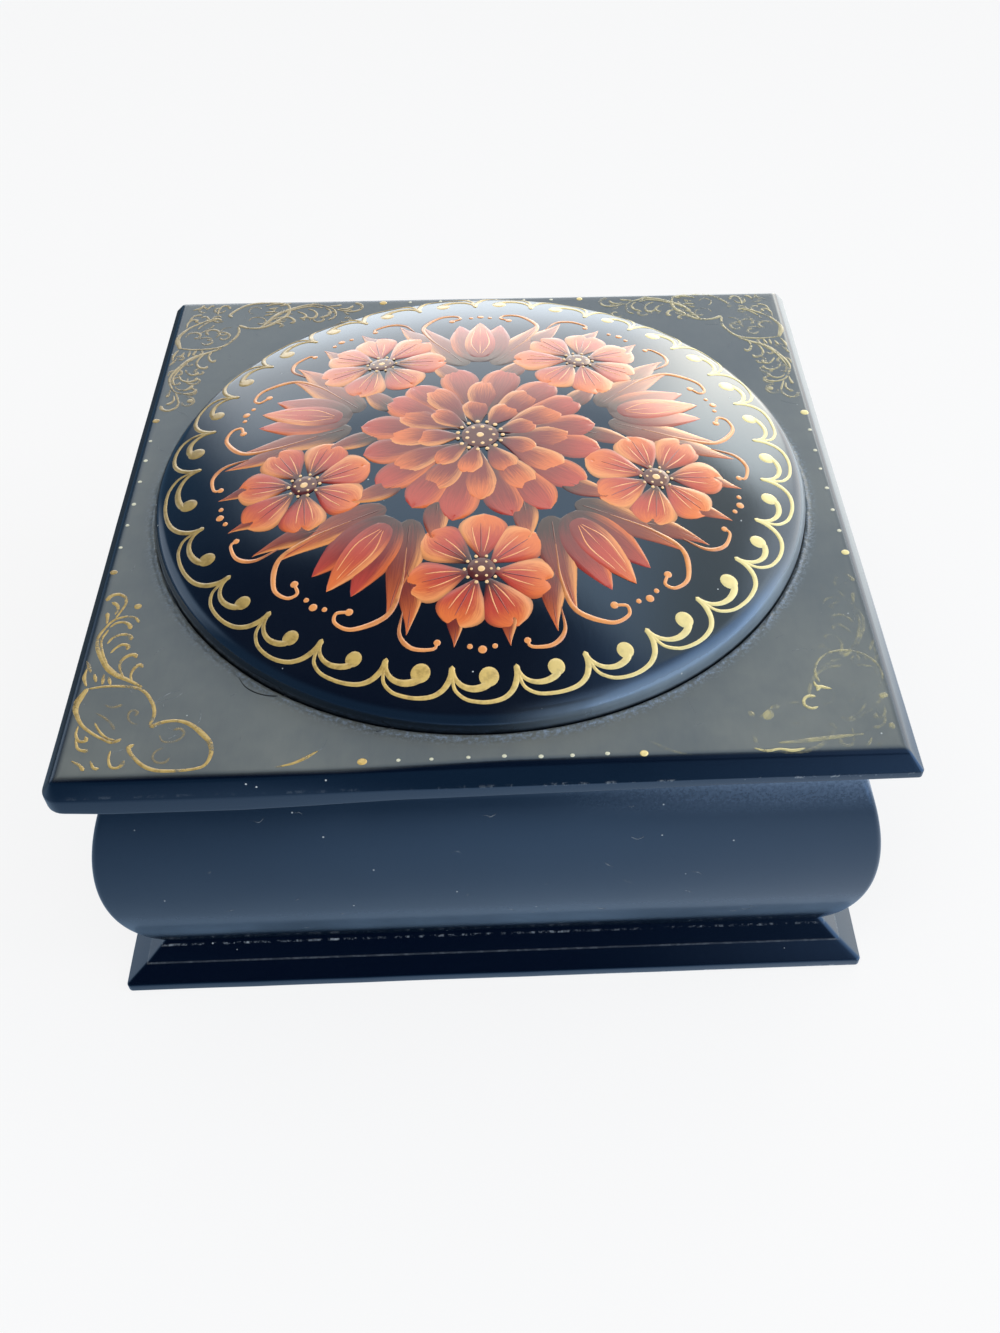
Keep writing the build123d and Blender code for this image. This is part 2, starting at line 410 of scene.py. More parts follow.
def dome_film_and_painted_rim_reflection(shader, place):
    """Painted reflection of the window: a pale bluish film low on the rim of the disc, towards the right and
    the front right, over the dome's plain dull film.
    """
    x, y, z = shader.axes(place)
    low = z.step(lid_top + 3.4, lid_top + 1.6) * z.step(lid_top + 0.1, lid_top + 0.7)
    return low * (x * 0.85 - y * 0.45).step(19.0, 38.0) * y.step(28.0, 5.0) * 64.0 + 1.0


def ridge_highlight_and_wear(shader, place):
    """Fine bright line on the lower edge of the bevel, partly wear and partly a painted highlight, broken
    here and there, and longest at the right.
    """
    x, y, z = shader.axes(place)
    out = abs(x).most(abs(y))
    lip = abs(z - (lid_bottom + lid_lip_height)).step(0.25, 0.08) * out.step(lid_half - 0.6, lid_half - 0.3)
    broken = shader.noise(place, 0.5, 5.0, 0.8).step(0.52, 0.62)
    return lip * broken * (x.step(-10.0, 40.0) * 0.5 + 0.05)


def gold_paint(name, rub=0.0, cover=1.0, shade=1.0, dull=0.0):
    """Gold paint under varnish, with painted light that makes it paler to the right. rub wears it off, and
    unrubbed it darkens to the left as painted shade.
    """
    shader = Shader(name)
    place = shader.place()
    x, y, z = shader.axes(place)
    gold = settings().gold_colour
    dark = tuple(part * share * shade for part, share in zip(gold, (0.60, 0.55, 0.46)))
    pale = tuple(min(1.0, part * share) for part, share in zip(gold, (1.17, 1.56, 2.6)))
    thick = shader.noise(place, 1.1, 4.0, 0.6)
    colour = shader.mix(thick.step(0.25, 0.58), dark, tuple(part * shade for part in gold))
    # Painted light: towards the right the gold is mixed with a paler, lit copy of itself
    colour = shader.mix(x.step(-12.0, 36.0) * 0.75, colour, pale)
    bristle = shader.noise(place, 6.0, 2.0)
    colour = shader.mix(bristle.step(0.60, 0.85) * 0.25, colour, dark)
    if dull:
        colour = shader.mix(dull, colour, greyed_gold)
    # Painted shade: gold that is not rubbed darkens towards the left
    if not rub:
        colour = shader.mix(x.step(-46.0, 4.0) * 0.5 + 0.5, (0.0, 0.0, 0.0), colour)
    worn = shader.noise(place, 0.5, 6.0, 0.75).step(rub - 0.12, rub + 0.14) * cover if rub else cover
    return shader.finish(
        Base_Color=colour,
        Roughness=bristle * 0.15 + 0.32,
        Metallic=0.1,
        Coat_Weight=0.9,
        Coat_Roughness=0.14,
        Alpha=worn,
        Normal=shader.bump(bristle + thick, 0.012 * MM),
    )


def varnished(shader, colour, bump):
    """Brush paint under a soft clear varnish."""
    return shader.finish(
        Base_Color=colour,
        Roughness=0.34,
        Coat_Weight=1.0,
        Coat_Roughness=0.13,
        Coat_IOR=1.6,
        Normal=bump,
    )


def petal_paint(name, root, middle, tip, edge):
    """One-stroke petal colour: dark at the root, bright at the tip, with a lighter colour on one side."""
    shader = Shader(name)
    along = shader.attribute("along")
    across = shader.attribute("across")
    tone = shader.attribute("tone")
    lane = shader.add("ShaderNodeCombineXYZ", values={0: across * 3.2, 1: along * 0.9, 2: tone * 37.0})
    bristle = shader.noise(lane, 4.5, 5.0, 0.65)
    fill = along + (bristle - 0.5) * 0.55 + (tone - 0.5) * 0.25
    colour = shader.mix(fill.step(0.02, 0.48), root, middle)
    colour = shader.mix(fill.step(0.45, 1.02), colour, tip)
    loaded = (across + (bristle - 0.5) * 0.7).step(0.25, 0.95) * along.step(0.1, 0.5)
    colour = shader.mix(loaded * 0.85, colour, edge)
    rim = abs(across).step(0.80, 1.0) * 0.45
    colour = shader.mix(rim, colour, root)
    return varnished(shader, colour, shader.bump(bristle, 0.015 * MM))


def plain_paint(name, first, second):
    """Brush paint of two mixed colours."""
    shader = Shader(name)
    place = shader.place()
    along = shader.attribute("along")
    patch = shader.noise(place, 0.8, 4.0, 0.6)
    colour = shader.mix((along * 0.7 + patch * 0.6).step(0.25, 0.85), first, second)
    return varnished(shader, colour, shader.bump(shader.noise(place, 5.0, 3.0), 0.012 * MM))


def scratch_finish(name, cover):
    """A thin dull line in the lacquer, here and there deeper."""
    shader = Shader(name)
    depth = shader.noise(shader.place(), 1.3, 3.0)
    colour = shader.mix(depth.step(0.35, 0.65), (0.16, 0.19, 0.22), (0.42, 0.46, 0.48))
    return shader.finish(Base_Color=colour, Roughness=depth * 0.2 + 0.45, Alpha=depth.step(0.25, 0.6) * cover)


def red_lining():
    """Red lacquer inside the box, brushed and a little dusty."""
    shader = Shader("red lining lacquer")
    place = shader.place()
    cloud = shader.noise(place, 0.08, 4.0, 0.6)
    brushed = shader.noise(shader.place((0.2, 2.0, 1.0)), 0.9, 4.0, 0.6)
    dust = dust_specks(shader, place, 0.05 * settings().wear, 0.12)
    deep = tuple(part * 0.55 for part in settings().lining_colour)
    base = shader.mix(cloud * 0.6 + brushed * 0.4, deep, settings().lining_colour)
    base = shader.mix(dust, base, (0.6, 0.5, 0.45))
    return shader.finish(
        Base_Color=base,
        Roughness=cloud * 0.15 + 0.28,
        Coat_Weight=0.6,
        Coat_Roughness=0.18,
        Normal=shader.bump(brushed, 0.02 * MM),
    )


def dull_brass():
    shader = Shader("dull hinge brass")
    place = shader.place()
    tarnish = shader.noise(place, 0.7, 5.0, 0.65)
    drawn = shader.noise(shader.place((0.3, 3.0, 3.0)), 3.0, 3.0)
    base = shader.mix(tarnish.step(0.35, 0.7), (0.30, 0.19, 0.07), (0.74, 0.55, 0.27))
    return shader.finish(
        Base_Color=base,
        Metallic=1.0,
        Roughness=tarnish * 0.25 + drawn * 0.15 + 0.18,
        Normal=shader.bump(drawn, 0.01 * MM),
    )


# Meshes

def new_object(name, data):
    """An object placed in the scene."""
    thing = bpy.data.objects.new(name, data)
    bpy.context.scene.collection.objects.link(thing)
    return thing


def new_piece(name, points, faces, materials, body, groups=None, shares=None, sharp=40.0):
    """A piece from points in millimetres. groups gives each face's material, shares are numbers at points."""
    mesh = bpy.data.meshes.new(name)
    mesh.from_pydata((np.asarray(points, float) * MM).tolist(), [], faces)
    for material in materials:
        mesh.materials.append(material)
    if groups is not None:
        mesh.polygons.foreach_set("material_index", groups)
    for label, values in (shares or {}).items():
        mesh.attributes.new(label, "FLOAT", "POINT").data.foreach_set("value", values)
    mesh.validate()
    mesh.shade_smooth()
    mesh.set_sharp_from_angle(angle=math.radians(sharp))
    piece = new_object(name, mesh)
    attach(piece, body)
    return piece


def around(reach, turn):
    """The point at a distance and an angle from the middle."""
    return np.array((math.cos(turn), math.sin(turn))) * reach


def ring_faces(first, second, count):
    """Four-sided faces between two closed rings of points, by their first indices."""
    return [
        (first + i, first + (i + 1) % count, second + (i + 1) % count, second + i)
        for i in range(count)
    ]


def round_faces(middle, rings, sides):
    """Faces about a middle point and over the rings of points that follow it, by their indices."""
    faces = [(middle, middle + 1 + i, middle + 1 + (i + 1) % sides) for i in range(sides)]
    for low in range(middle + 1, middle + 1 + (rings - 1) * sides, sides):
        high = low + sides
        faces += [(low + i, high + i, high + (i + 1) % sides, low + (i + 1) % sides) for i in range(sides)]
    return faces


def grid_faces(first, rows, columns):
    """Four-sided faces of a grid of points, by the index of its first point."""
    faces = []
    for row in range(rows - 1):
        for column in range(columns - 1):
            corner = first + row * columns + column
            faces.append((corner, corner + columns, corner + columns + 1, corner + 1))
    return faces


def board_faces(rings, count, top_group, bottom_group):
    """Faces of a board from rings of points, the underside's first, and the material group of each face."""
    faces = []
    for ring in range(rings - 1):
        faces += ring_faces(ring * count, (ring + 1) * count, count)
    groups = [0] * len(faces) + [top_group, bottom_group]
    faces.append(tuple(range((rings - 1) * count, rings * count)))
    faces.append(tuple(reversed(range(count))))
    return faces, groups


def eased_profile(corners, radii, steps=5):
    """An open outline through corners, each rounded by its own radius."""
    points = [corners[0]]
    for before, corner, after, radius in zip(corners, corners[1:], corners[2:], radii):
        corner, before, after = np.array(corner), np.array(before), np.array(after)
        back = (before - corner) / np.linalg.norm(before - corner)
        ahead = (after - corner) / np.linalg.norm(after - corner)
        half_turn = math.acos(np.clip(back @ ahead, -1, 1)) / 2
        reach = radius / math.tan(half_turn)
        middle = back + ahead
        centre = corner + middle / np.linalg.norm(middle) * radius / math.sin(half_turn)
        start, end = corner + back * reach - centre, corner + ahead * reach - centre
        sweep = math.acos(np.clip(start @ end / radius**2, -1, 1))
        for step in range(steps + 1):
            share = step / steps
            mixed = (math.sin((1 - share) * sweep) * start + math.sin(share * sweep) * end) / math.sin(sweep)
            points.append(tuple(centre + mixed))
    points.append(corners[-1])
    return points


def square_ring(half, ease, worn_ease=None, along=120, round_steps=8):
    """Points round a square with eased corners, counter-clockwise from the front left corner's arc."""
    points = []
    for turn, corner_ease in enumerate((worn_ease or ease, ease, ease, ease)):
        angle = math.radians(90 * turn)
        spin = np.array(((math.cos(angle), -math.sin(angle)), (math.sin(angle), math.cos(angle))))
        centre = half - corner_ease
        for step in range(round_steps + 1):
            arc = math.pi + math.pi / 2 * step / round_steps
            points.append(spin @ (around(corner_ease, arc) - centre))
        next_ease = ease if turn < 3 else (worn_ease or ease)
        for x in np.linspace(-half + corner_ease, half - next_ease, along + 2)[1:-1]:
            points.append(spin @ (x, -half))
    return np.array(points)


def uneven(x, y, z, size, amount):
    """A small hand-made unevenness at a place."""
    return noise.noise(Vector((x, y, z)) / size) * amount


def bulge_profile(steps=40):
    """Half width of the walls by height, from the foot to the top: bulge, hollow and straight neck."""
    neck_bottom = wall_top - neck_height
    rise = (neck_bottom - base_top) / 2
    swell = belly_half - neck_half
    radius = (rise * rise + swell * swell) / (2 * swell)
    centre = belly_half - radius
    middle = (base_top + neck_bottom) / 2
    # The hollow's centre lies outside the neck, where it touches both the bulge and the straight band
    hollow_x = neck_half + neck_hollow
    hollow_z = middle + math.sqrt((radius + neck_hollow) ** 2 - (hollow_x - centre) ** 2)
    meet = math.atan2(hollow_z - middle, hollow_x - centre)
    foot = math.atan2(base_top - middle, neck_half - centre)
    points = []
    for step in range(steps + 1):
        angle = foot + (meet - foot) * step / steps
        points.append((centre + radius * math.cos(angle), middle + radius * math.sin(angle)))
    for step in range(1, 9):
        angle = math.pi + meet * (1 - step / 8)
        points.append((hollow_x + neck_hollow * math.cos(angle), hollow_z + neck_hollow * math.sin(angle)))
    return points


def cut_boxes(piece, boxes):
    """Cuts boxes, given by their lowest and highest corners in millimetres, out of a piece."""
    for low, high in boxes:
        corners = [(x, y, z) for x in (low[0], high[0]) for y in (low[1], high[1]) for z in (low[2], high[2])]
        sides = [(0, 1, 3, 2), (4, 6, 7, 5), (0, 4, 5, 1), (2, 3, 7, 6), (0, 2, 6, 4), (1, 5, 7, 3)]
        block = bpy.data.meshes.new("hinge cut")
        block.from_pydata([tuple(part * MM for part in corner) for corner in corners], [], sides)
        cutter = new_object("hinge cut", block)
        cut = piece.modifiers.new("hinge cut", "BOOLEAN")
        cut.operation = "DIFFERENCE"
        cut.solver = "EXACT"
        cut.object = cutter
        shaped = bpy.data.meshes.new_from_object(piece.evaluated_get(bpy.context.evaluated_depsgraph_get()))
        piece.modifiers.clear()
        piece.data = shaped
        bpy.data.objects.remove(cutter)


def hinge_cuts(leaves, low, high):
    """Boxes round the hinge leaves, from one height to another and out to the back."""
    behind = lid_half + 5.0
    boxes = []
    for side in ("left", "right"):
        leaf_low, leaf_high = box_corners(f"{side}_{leaves}_leaf")
        start = (leaf_low.x - mortise_gap, leaf_low.y - mortise_gap, low)
        boxes.append((start, (leaf_high.x + mortise_gap, behind, high)))
    return boxes


def barrel_cuts():
    """Boxes round the barrels of the hinges, where they reach up into the lid board."""
    boxes = []
    for side in ("left", "right"):
        pin_low, pin_high = box_corners(f"{side}_hinge_pin")
        leaf_high = box_corners(f"{side}_lower_leaf")[1]
        boxes.append((
            (pin_low.x - barrel_relief, leaf_high.y - barrel_diameter - barrel_relief, lid_bottom - 5.0),
            (pin_high.x + barrel_relief, leaf_high.y + barrel_relief, leaf_high.z + barrel_relief),
        ))
    return boxes


# Brush strokes

def disc_height(x, y):
    """Height of the painted dome over a point, millimetres."""
    radius = math.hypot(x, y)
    rim_top = lid_top + disc_rim_height
    drop = disc_top - rim_top
    crown = (disc_radius**2 + drop**2) / (2 * drop)
    ball_x = disc_radius - disc_rim_round
    ball_z = disc_top - crown + math.sqrt((crown - disc_rim_round) ** 2 - ball_x**2)
    join = ball_x * crown / (crown - disc_rim_round)
    if radius <= join:
        height = disc_top - crown + math.sqrt(crown**2 - radius**2)
    else:
        height = ball_z + math.sqrt(max(disc_rim_round**2 - (radius - ball_x) ** 2, 0.0))
    return height - crown_drop


def on_dome(x, y, lift):
    return x, y, disc_height(x, y) + lift


def on_lid(x, y, lift):
    return x, y, lid_top + lift


def on_front(x, z, lift):
    """A point on the front wall, by its place across and its height."""
    halves, heights = zip(*bulge_profile())
    return x, -np.interp(z, heights, halves) - lift, z


def smooth_line(points, gap=0.25):
    """A smooth line through given points, sampled evenly."""
    points = [np.array(point, float) for point in points]
    padded = [2 * points[0] - points[1], *points, 2 * points[-1] - points[-2]]
    line = []
    for p0, p1, p2, p3 in zip(padded, padded[1:], padded[2:], padded[3:]):
        count = max(2, int(np.linalg.norm(p2 - p1) / gap))
        for t in np.arange(count) / count:
            line.append(
                0.5 * (2 * p1 + (p2 - p0) * t + (2 * p0 - 5 * p1 + 4 * p2 - p3) * t**2
                       + (3 * p1 - p0 - 3 * p2 + p3) * t**3)
            )
    line.append(points[-1])
    return np.array(line)


class Brush:
    """Gathers strokes of one paint on one surface, and makes one piece of them."""

    cross = ((-1.0, 0.0), (-0.82, 0.75), (0.0, 1.0), (0.82, 0.75), (1.0, 0.0))
    sunk = 0.02  # how far the edge of a stroke lies in the surface
    layer_rise = 0.02

    def __init__(self, surface, layer=0, relief=None):
        self.surface = surface
        self.relief = relief or settings().paint_relief / MM
        self.floor = layer * self.layer_rise
        self.points, self.flat, self.faces = [], [], []
        self.along, self.across, self.tone = [], [], []
        self.hand = random.Random(settings().hand_seed)

    def put(self, x, y, rise, along, across, tone):
        lift = self.floor + rise * (self.relief + self.sunk) - (self.sunk if rise == 0.0 else 0.0)
        self.points.append(self.surface(x, y, lift))
        self.flat.append((x, y))
        self.along.append(along)
        self.across.append(across)
        self.tone.append(tone)

    def stroke(self, points, widths, tone=0.5):
        """A stroke along given points, its widths spread evenly from start to end."""
        line = smooth_line(points)
        steps = np.linalg.norm(np.diff(line, axis=0), axis=1)
        reach = np.concatenate(([0.0], np.cumsum(steps)))
        share = reach / reach[-1]
        width = np.interp(share, np.linspace(0, 1, len(widths)), widths) / 2
        # Both ends are round
        for i, distance in enumerate(reach):
            near = min(distance, reach[-1] - distance)
            if near < width[i]:
                width[i] *= math.sqrt(max(1 - (1 - near / width[i]) ** 2, 0.02))
        ahead = np.gradient(line, axis=0)
        ahead /= np.linalg.norm(ahead, axis=1)[:, None]
        aside = np.stack((-ahead[:, 1], ahead[:, 0]), axis=1)
        first = len(self.points)
        for spot, side, half, along in zip(line, aside, width, share):
            for across, rise in self.cross:
                x, y = spot + side * half * across
                self.put(x, y, rise, along, across, tone)
        self.faces += grid_faces(first, len(line), len(self.cross))

    def spot(self, centre, radius, tone=0.5, squash=1.0, turn=0.0):
        """A round or oval touch of the brush."""
        sides = 20
        first = len(self.points)
        self.put(*centre, 1.0, 0.9, 0.0, tone)
        for share, rise in ((0.55, 0.95), (0.86, 0.7), (1.0, 0.0)):
            for side in range(sides):
                angle = math.tau * side / sides
                x, y = radius * share * math.cos(angle), radius * share * squash * math.sin(angle)
                spun = (x * math.cos(turn) - y * math.sin(turn), x * math.sin(turn) + y * math.cos(turn))
                self.put(centre[0] + spun[0], centre[1] + spun[1], rise, 0.9, share * 0.5, tone)
        self.faces += round_faces(first, 3, sides)

    def petal(self, root, angle, length, width, bend=0.0, notch=0.0, belly=0.62, tone=0.5, point=0.0):
        """A petal from its root outwards, widest at the belly's share of its length."""
        rows, columns = 18, 11
        first = len(self.points)
        heading = around(1.0, angle)
        aside = np.array((-heading[1], heading[0]))
        power = math.log(0.5) / math.log(belly)
        for row in range(rows + 1):
            u = row / rows
            spread = math.sin(math.pi * u**power) ** 0.62 if 0 < u < 1 else 0.0
            half = width / 2 * spread * (1 - point * u**3)
            for column in range(columns):
                v = 2 * column / (columns - 1) - 1
                reach = length * (u - notch * (1 - abs(v)) ** 2 * u**6)
                side = half * v + bend * length * u * u
                x, y = np.array(root) + heading * reach + aside * side
                edge = abs(v) > 0.999 or row in (0, rows)
                rise = 0.0 if edge else 0.55 + 0.45 * (1 - v * v) * math.sin(math.pi * u)
                self.put(x, y, rise, u, v, tone)
        self.faces += grid_faces(first, rows + 1, columns)

    def piece(self, name, material, slot="painted_lacquer", body="lid"):
        shares = {"along": self.along, "across": self.across, "tone": self.tone}
        # Each stroke's front is its painted side
        corners = np.array([[self.flat[i] for i in face[:3]] for face in self.faces])
        first, second = corners[:, 1] - corners[:, 0], corners[:, 2] - corners[:, 0]
        turn = first[:, 0] * second[:, 1] - first[:, 1] * second[:, 0]
        faces = [face if way > 0 else tuple(reversed(face)) for face, way in zip(self.faces, turn)]
        return new_piece(name, self.points, faces, [material], body, shares=shares, sharp=75.0)


# Corner ornament. Each point is given by its distance from the side edge, then from the front or back edge.

upper_ring = ((3.3, 14.7), (5.0, 15.0), (7.0, 15.0), (8.8, 14.7), (10.0, 14.0), (11.0, 12.6), (11.6, 11.2),
              (11.7, 10.0), (11.4, 8.8))
upper_ring_side = ((3.2, 14.8), (2.9, 14.0), (2.45, 12.6), (2.5, 11.4), (3.0, 10.2), (3.8, 9.0), (4.9, 8.0),
                   (6.2, 7.1), (7.6, 6.4), (8.6, 6.9))
upper_ring_inner = ((5.1, 9.4), (5.9, 8.1), (6.9, 7.1), (7.9, 6.7))
lower_ring = ((11.5, 8.5), (12.2, 8.9), (13.0, 9.25), (14.2, 9.4), (15.4, 9.15), (16.6, 8.4), (17.7, 7.3),
              (18.6, 6.2), (19.05, 5.0), (19.05, 3.8), (18.6, 2.7), (17.6, 2.25), (16.0, 2.05), (14.4, 2.05),
              (13.0, 2.25), (11.8, 2.85), (10.8, 3.75), (10.0, 4.75), (9.65, 5.6), (10.2, 6.0))
inner_curls = (
    ((10.4, 8.95), (9.4, 9.2), (8.8, 10.0), (8.8, 10.9), (9.3, 11.2), (9.75, 10.8), (9.5, 10.3)),
    ((12.8, 7.4), (13.3, 6.4), (14.4, 6.2), (15.3, 6.7), (15.6, 7.5), (15.1, 8.15), (14.3, 8.0)),
    ((13.6, 5.4), (12.8, 4.9), (12.6, 4.0), (13.2, 3.3), (14.1, 3.3), (14.5, 3.9)),
    ((5.6, 12.2), (6.6, 11.7), (7.8, 12.1)),
    ((4.9, 10.9), (6.0, 10.2), (7.0, 9.2), (7.6, 8.2)),
)
plume_stem = ((9.6, 14.75), (7.8, 15.9), (6.2, 16.8), (5.0, 17.9), (4.0, 19.4), (3.1, 21.2), (2.8, 23.0),
              (3.3, 24.6), (4.1, 26.0), (5.4, 26.6), (6.7, 26.4), (7.35, 25.5))
plume_second = ((6.8, 16.2), (5.3, 17.5), (4.3, 19.4), (3.6, 21.2), (3.3, 22.8), (3.8, 24.4))
plume_curls = (
    ((4.3, 26.4), (4.8, 27.8), (5.1, 29.0), (4.8, 30.1), (3.9, 30.7), (3.0, 30.4), (2.55, 29.5)),
    ((4.1, 27.0), (4.3, 28.1), (3.9, 28.9), (3.3, 29.2)),
    ((3.4, 25.4), (3.3, 26.4), (3.1, 27.4)),
    ((3.9, 24.8), (4.5, 25.5), (5.4, 25.7), (6.2, 25.2), (6.5, 24.4)),
    ((4.1, 22.0), (4.6, 23.0), (5.6, 23.55), (6.6, 23.3), (6.9, 22.5)),
    ((4.8, 20.4), (5.3, 21.3), (6.0, 21.85), (6.7, 21.6), (6.7, 20.9)),
    ((7.1, 16.4), (6.45, 17.7), (6.3, 18.9), (6.9, 19.85), (7.75, 20.1), (8.1, 19.5)),
    ((8.2, 15.6), (7.9, 16.9), (8.2, 17.95), (8.7, 18.4), (9.15, 17.9)),
)
edge_flicks = (
    ((2.2, 19.2), (2.7, 18.2), (3.1, 17.3)),
    ((2.5, 18.0), (2.45, 16.5), (3.0, 15.1)),
    ((3.5, 17.2), (4.0, 15.7)),
    ((4.7, 17.0), (4.8, 15.3)),
    ((5.3, 16.6), (5.8, 15.2)),
)
foot_curls = (
    ((3.3, 9.0), (3.3, 7.7), (3.9, 6.7), (4.65, 6.8), (4.4, 7.4)),
    ((3.4, 7.0), (4.0, 5.6), (5.2, 5.2)),
    ((3.6, 3.85), (4.6, 3.25), (5.25, 2.4)),
    ((5.7, 3.8), (6.3, 2.75), (6.9, 2.7)),
    ((7.7, 5.2), (7.7, 4.0), (8.2, 2.8), (9.1, 2.8), (9.5, 3.7)),
)
front_sweep = ((26.6, 2.1), (28.4, 2.55), (29.8, 3.3), (31.2, 4.3))
# Areas that scattered fine curls fill, with their count and size
fine_curl_areas = (
    (((3.4, 8.6), (3.4, 6.4)), 4, 1.6), (((4.4, 9.6), (9.0, 13.0)), 4, 1.5),
    (((3.2, 7.4), (16.0, 30.0)), 9, 1.4), (((16.0, 30.0), (3.2, 7.4)), 9, 1.4),
)

# Widths of the cells of the scalloped border as seen from its left side round by the front, in degrees
cell_spans = (18.4, 15.5, 13.1, 12.5, 12.8, 11.9, 11.3, 12.5, 12.6, 12.7, 13.7, 12.3, 12.7, 12.8, 13.2,
              11.8, 12.5, 11.9, 11.1)
back_cells = 9  # of even width, in what is left of the circle
border_start = 180.4
# One cell of the border: share of the cell's width, and depth inwards from the outer line in millimetres
scallop_arc = ((0.02, 3.4), (0.035, 2.4), (0.09, 1.3), (0.24, 0.35), (0.44, 0.0), (0.62, 0.05), (0.78, 0.45),
               (0.90, 1.3), (0.97, 2.4), (1.0, 3.4), (1.0, 4.5))
scallop_comma = ((0.0, 4.2), (0.03, 3.4), (0.09, 2.6), (0.19, 1.95), (0.32, 1.65), (0.45, 1.8), (0.55, 2.25),
                 (0.58, 2.7))
scallop_ball = (0.565, 3.15)

# What is left of the front right corner's ornament, from the middle of the lid board
rubbed_flame = ((39.3, -39.0), (39.7, -38.3), (40.3, -38.4), (41.1, -38.7))
rubbed_spur = ((39.2, -37.4), (39.3, -38.0), (39.7, -38.5))
rubbed_hook = ((39.0, -39.8), (38.1, -39.7), (37.5, -40.3), (37.5, -41.1), (38.2, -41.6), (39.0, -41.4))
rubbed_foot = ((30.6, -47.3), (32.0, -47.7), (33.5, -47.5), (35.0, -47.75), (36.4, -47.5))
rubbed_smear = ((33.5, -46.6), (36.5, -46.4), (40.0, -46.0), (43.5, -45.7))
rubbed_blots = ((33.0, -42.4, 0.85), (33.9, -41.3, 0.6), (31.0, -42.2, 0.5), (47.0, -39.9, 0.6),
                (47.0, -44.6, 0.5))  # across, towards the back, radius
rubbed_ring = (43.6, -36.3, 4.0)  # across, towards the back, radius


def mirrored(points, across, along, swap=False):
    """Points given from a corner, placed at one of the four, and swapped about its diagonal if asked."""
    placed = []
    for inwards, upwards in points:
        if swap:
            inwards, upwards = upwards, inwards
        placed.append((across * (lid_half - inwards), along * (lid_half - upwards)))
    return placed


def corner_strokes(brush, across, along, swap=False, rings=True):
    """Rings, curls and a plume of the corner ornament."""
    def draw(points, widths):
        brush.stroke(mirrored(points, across, along, swap), widths, brush.hand.random())

    if rings:
        draw(upper_ring, (0.30, 0.40, 0.45, 0.50, 0.40))
        draw(upper_ring_side, (0.55, 0.90, 0.60, 0.45, 0.40, 0.35, 0.55))
        draw(upper_ring_inner, (0.25, 0.35, 0.3))
        draw(lower_ring, (0.75, 0.45, 0.60, 0.75, 0.60, 0.45, 0.40, 0.50, 0.55, 0.45, 0.65))
        for curl in foot_curls:
            draw(curl, (0.22, 0.35, 0.40, 0.62))
    draw(plume_stem, (0.35, 0.60, 0.85, 0.60, 0.45, 0.35, 0.35, 0.4))
    draw(plume_second, (0.45, 0.45, 0.35, 0.30))
    for curl in plume_curls:
        draw(curl, (0.28, 0.36, 0.50, 0.66))
    for flick in edge_flicks:
        draw(flick, (0.20, 0.50, 0.25))


def fine_curls(brush, across, along, area, count, size):
    """Small spirals of the corner ornament, scattered side by side over an area given from the corner."""
    (low_in, high_in), (low_up, high_up) = area
    middles = []
    while len(middles) < count:
        middle = np.array((brush.hand.uniform(low_in, high_in), brush.hand.uniform(low_up, high_up)))
        if all(np.linalg.norm(middle - other) > 1.45 * size for other in middles):
            middles.append(middle)
    for middle in middles:
        start, way = brush.hand.uniform(0, math.tau), brush.hand.choice((1, -1))
        radius = size * brush.hand.uniform(0.6, 1.1)
        points = []
        for step in range(7):
            points.append(middle + around(radius, start + way * step * 0.85) * (1 - step / 8))
        brush.stroke(mirrored(points, across, along), (0.18, 0.50, 0.60, 0.46, 0.58), brush.hand.random())


# Operators

class BuildBase(bpy.types.Operator):
    """Base board: upright edge, two slopes up to the walls and a red floor inside"""

    bl_idname = "lacquer_box.base"
    bl_label = "Base board"

    def execute(self, context):
        corners = [
            (0.0, 0.0), (base_half, 0.0), (base_half, base_edge_height),
            (base_half - base_ridge_inset, base_ridge_height), (neck_half, base_top), (0.0, base_top),
        ]
        outline = eased_profile(corners, base_edge_rounds)[1:-1]
        rings = [(half, height, base_corner_ease) for half, height in outline]
        rings.append((inner_half, base_top, inner_corner_ease))
        points = []
        for half, height, ease in rings:
            for x, y in square_ring(half, ease):
                wave = 1 - abs(uneven(x, y, 3.0, 21.0, 0.0016))
                points.append((x * wave, y * wave, height))
        faces, groups = board_faces(len(rings), len(points) // len(rings), 1, 0)
        # The pale broken lines along the base's edges are partly chips and partly painted highlights.
        black = lacquer("base lacquer", 0.15, film=0.015, chips=foot_chips_and_highlights)
        finishes = [black, red_lining()]
        piece = new_piece("moulded_base", points, faces, finishes, "box", groups, sharp=50.0)
        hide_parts("base_board")
        return {"FINISHED"}


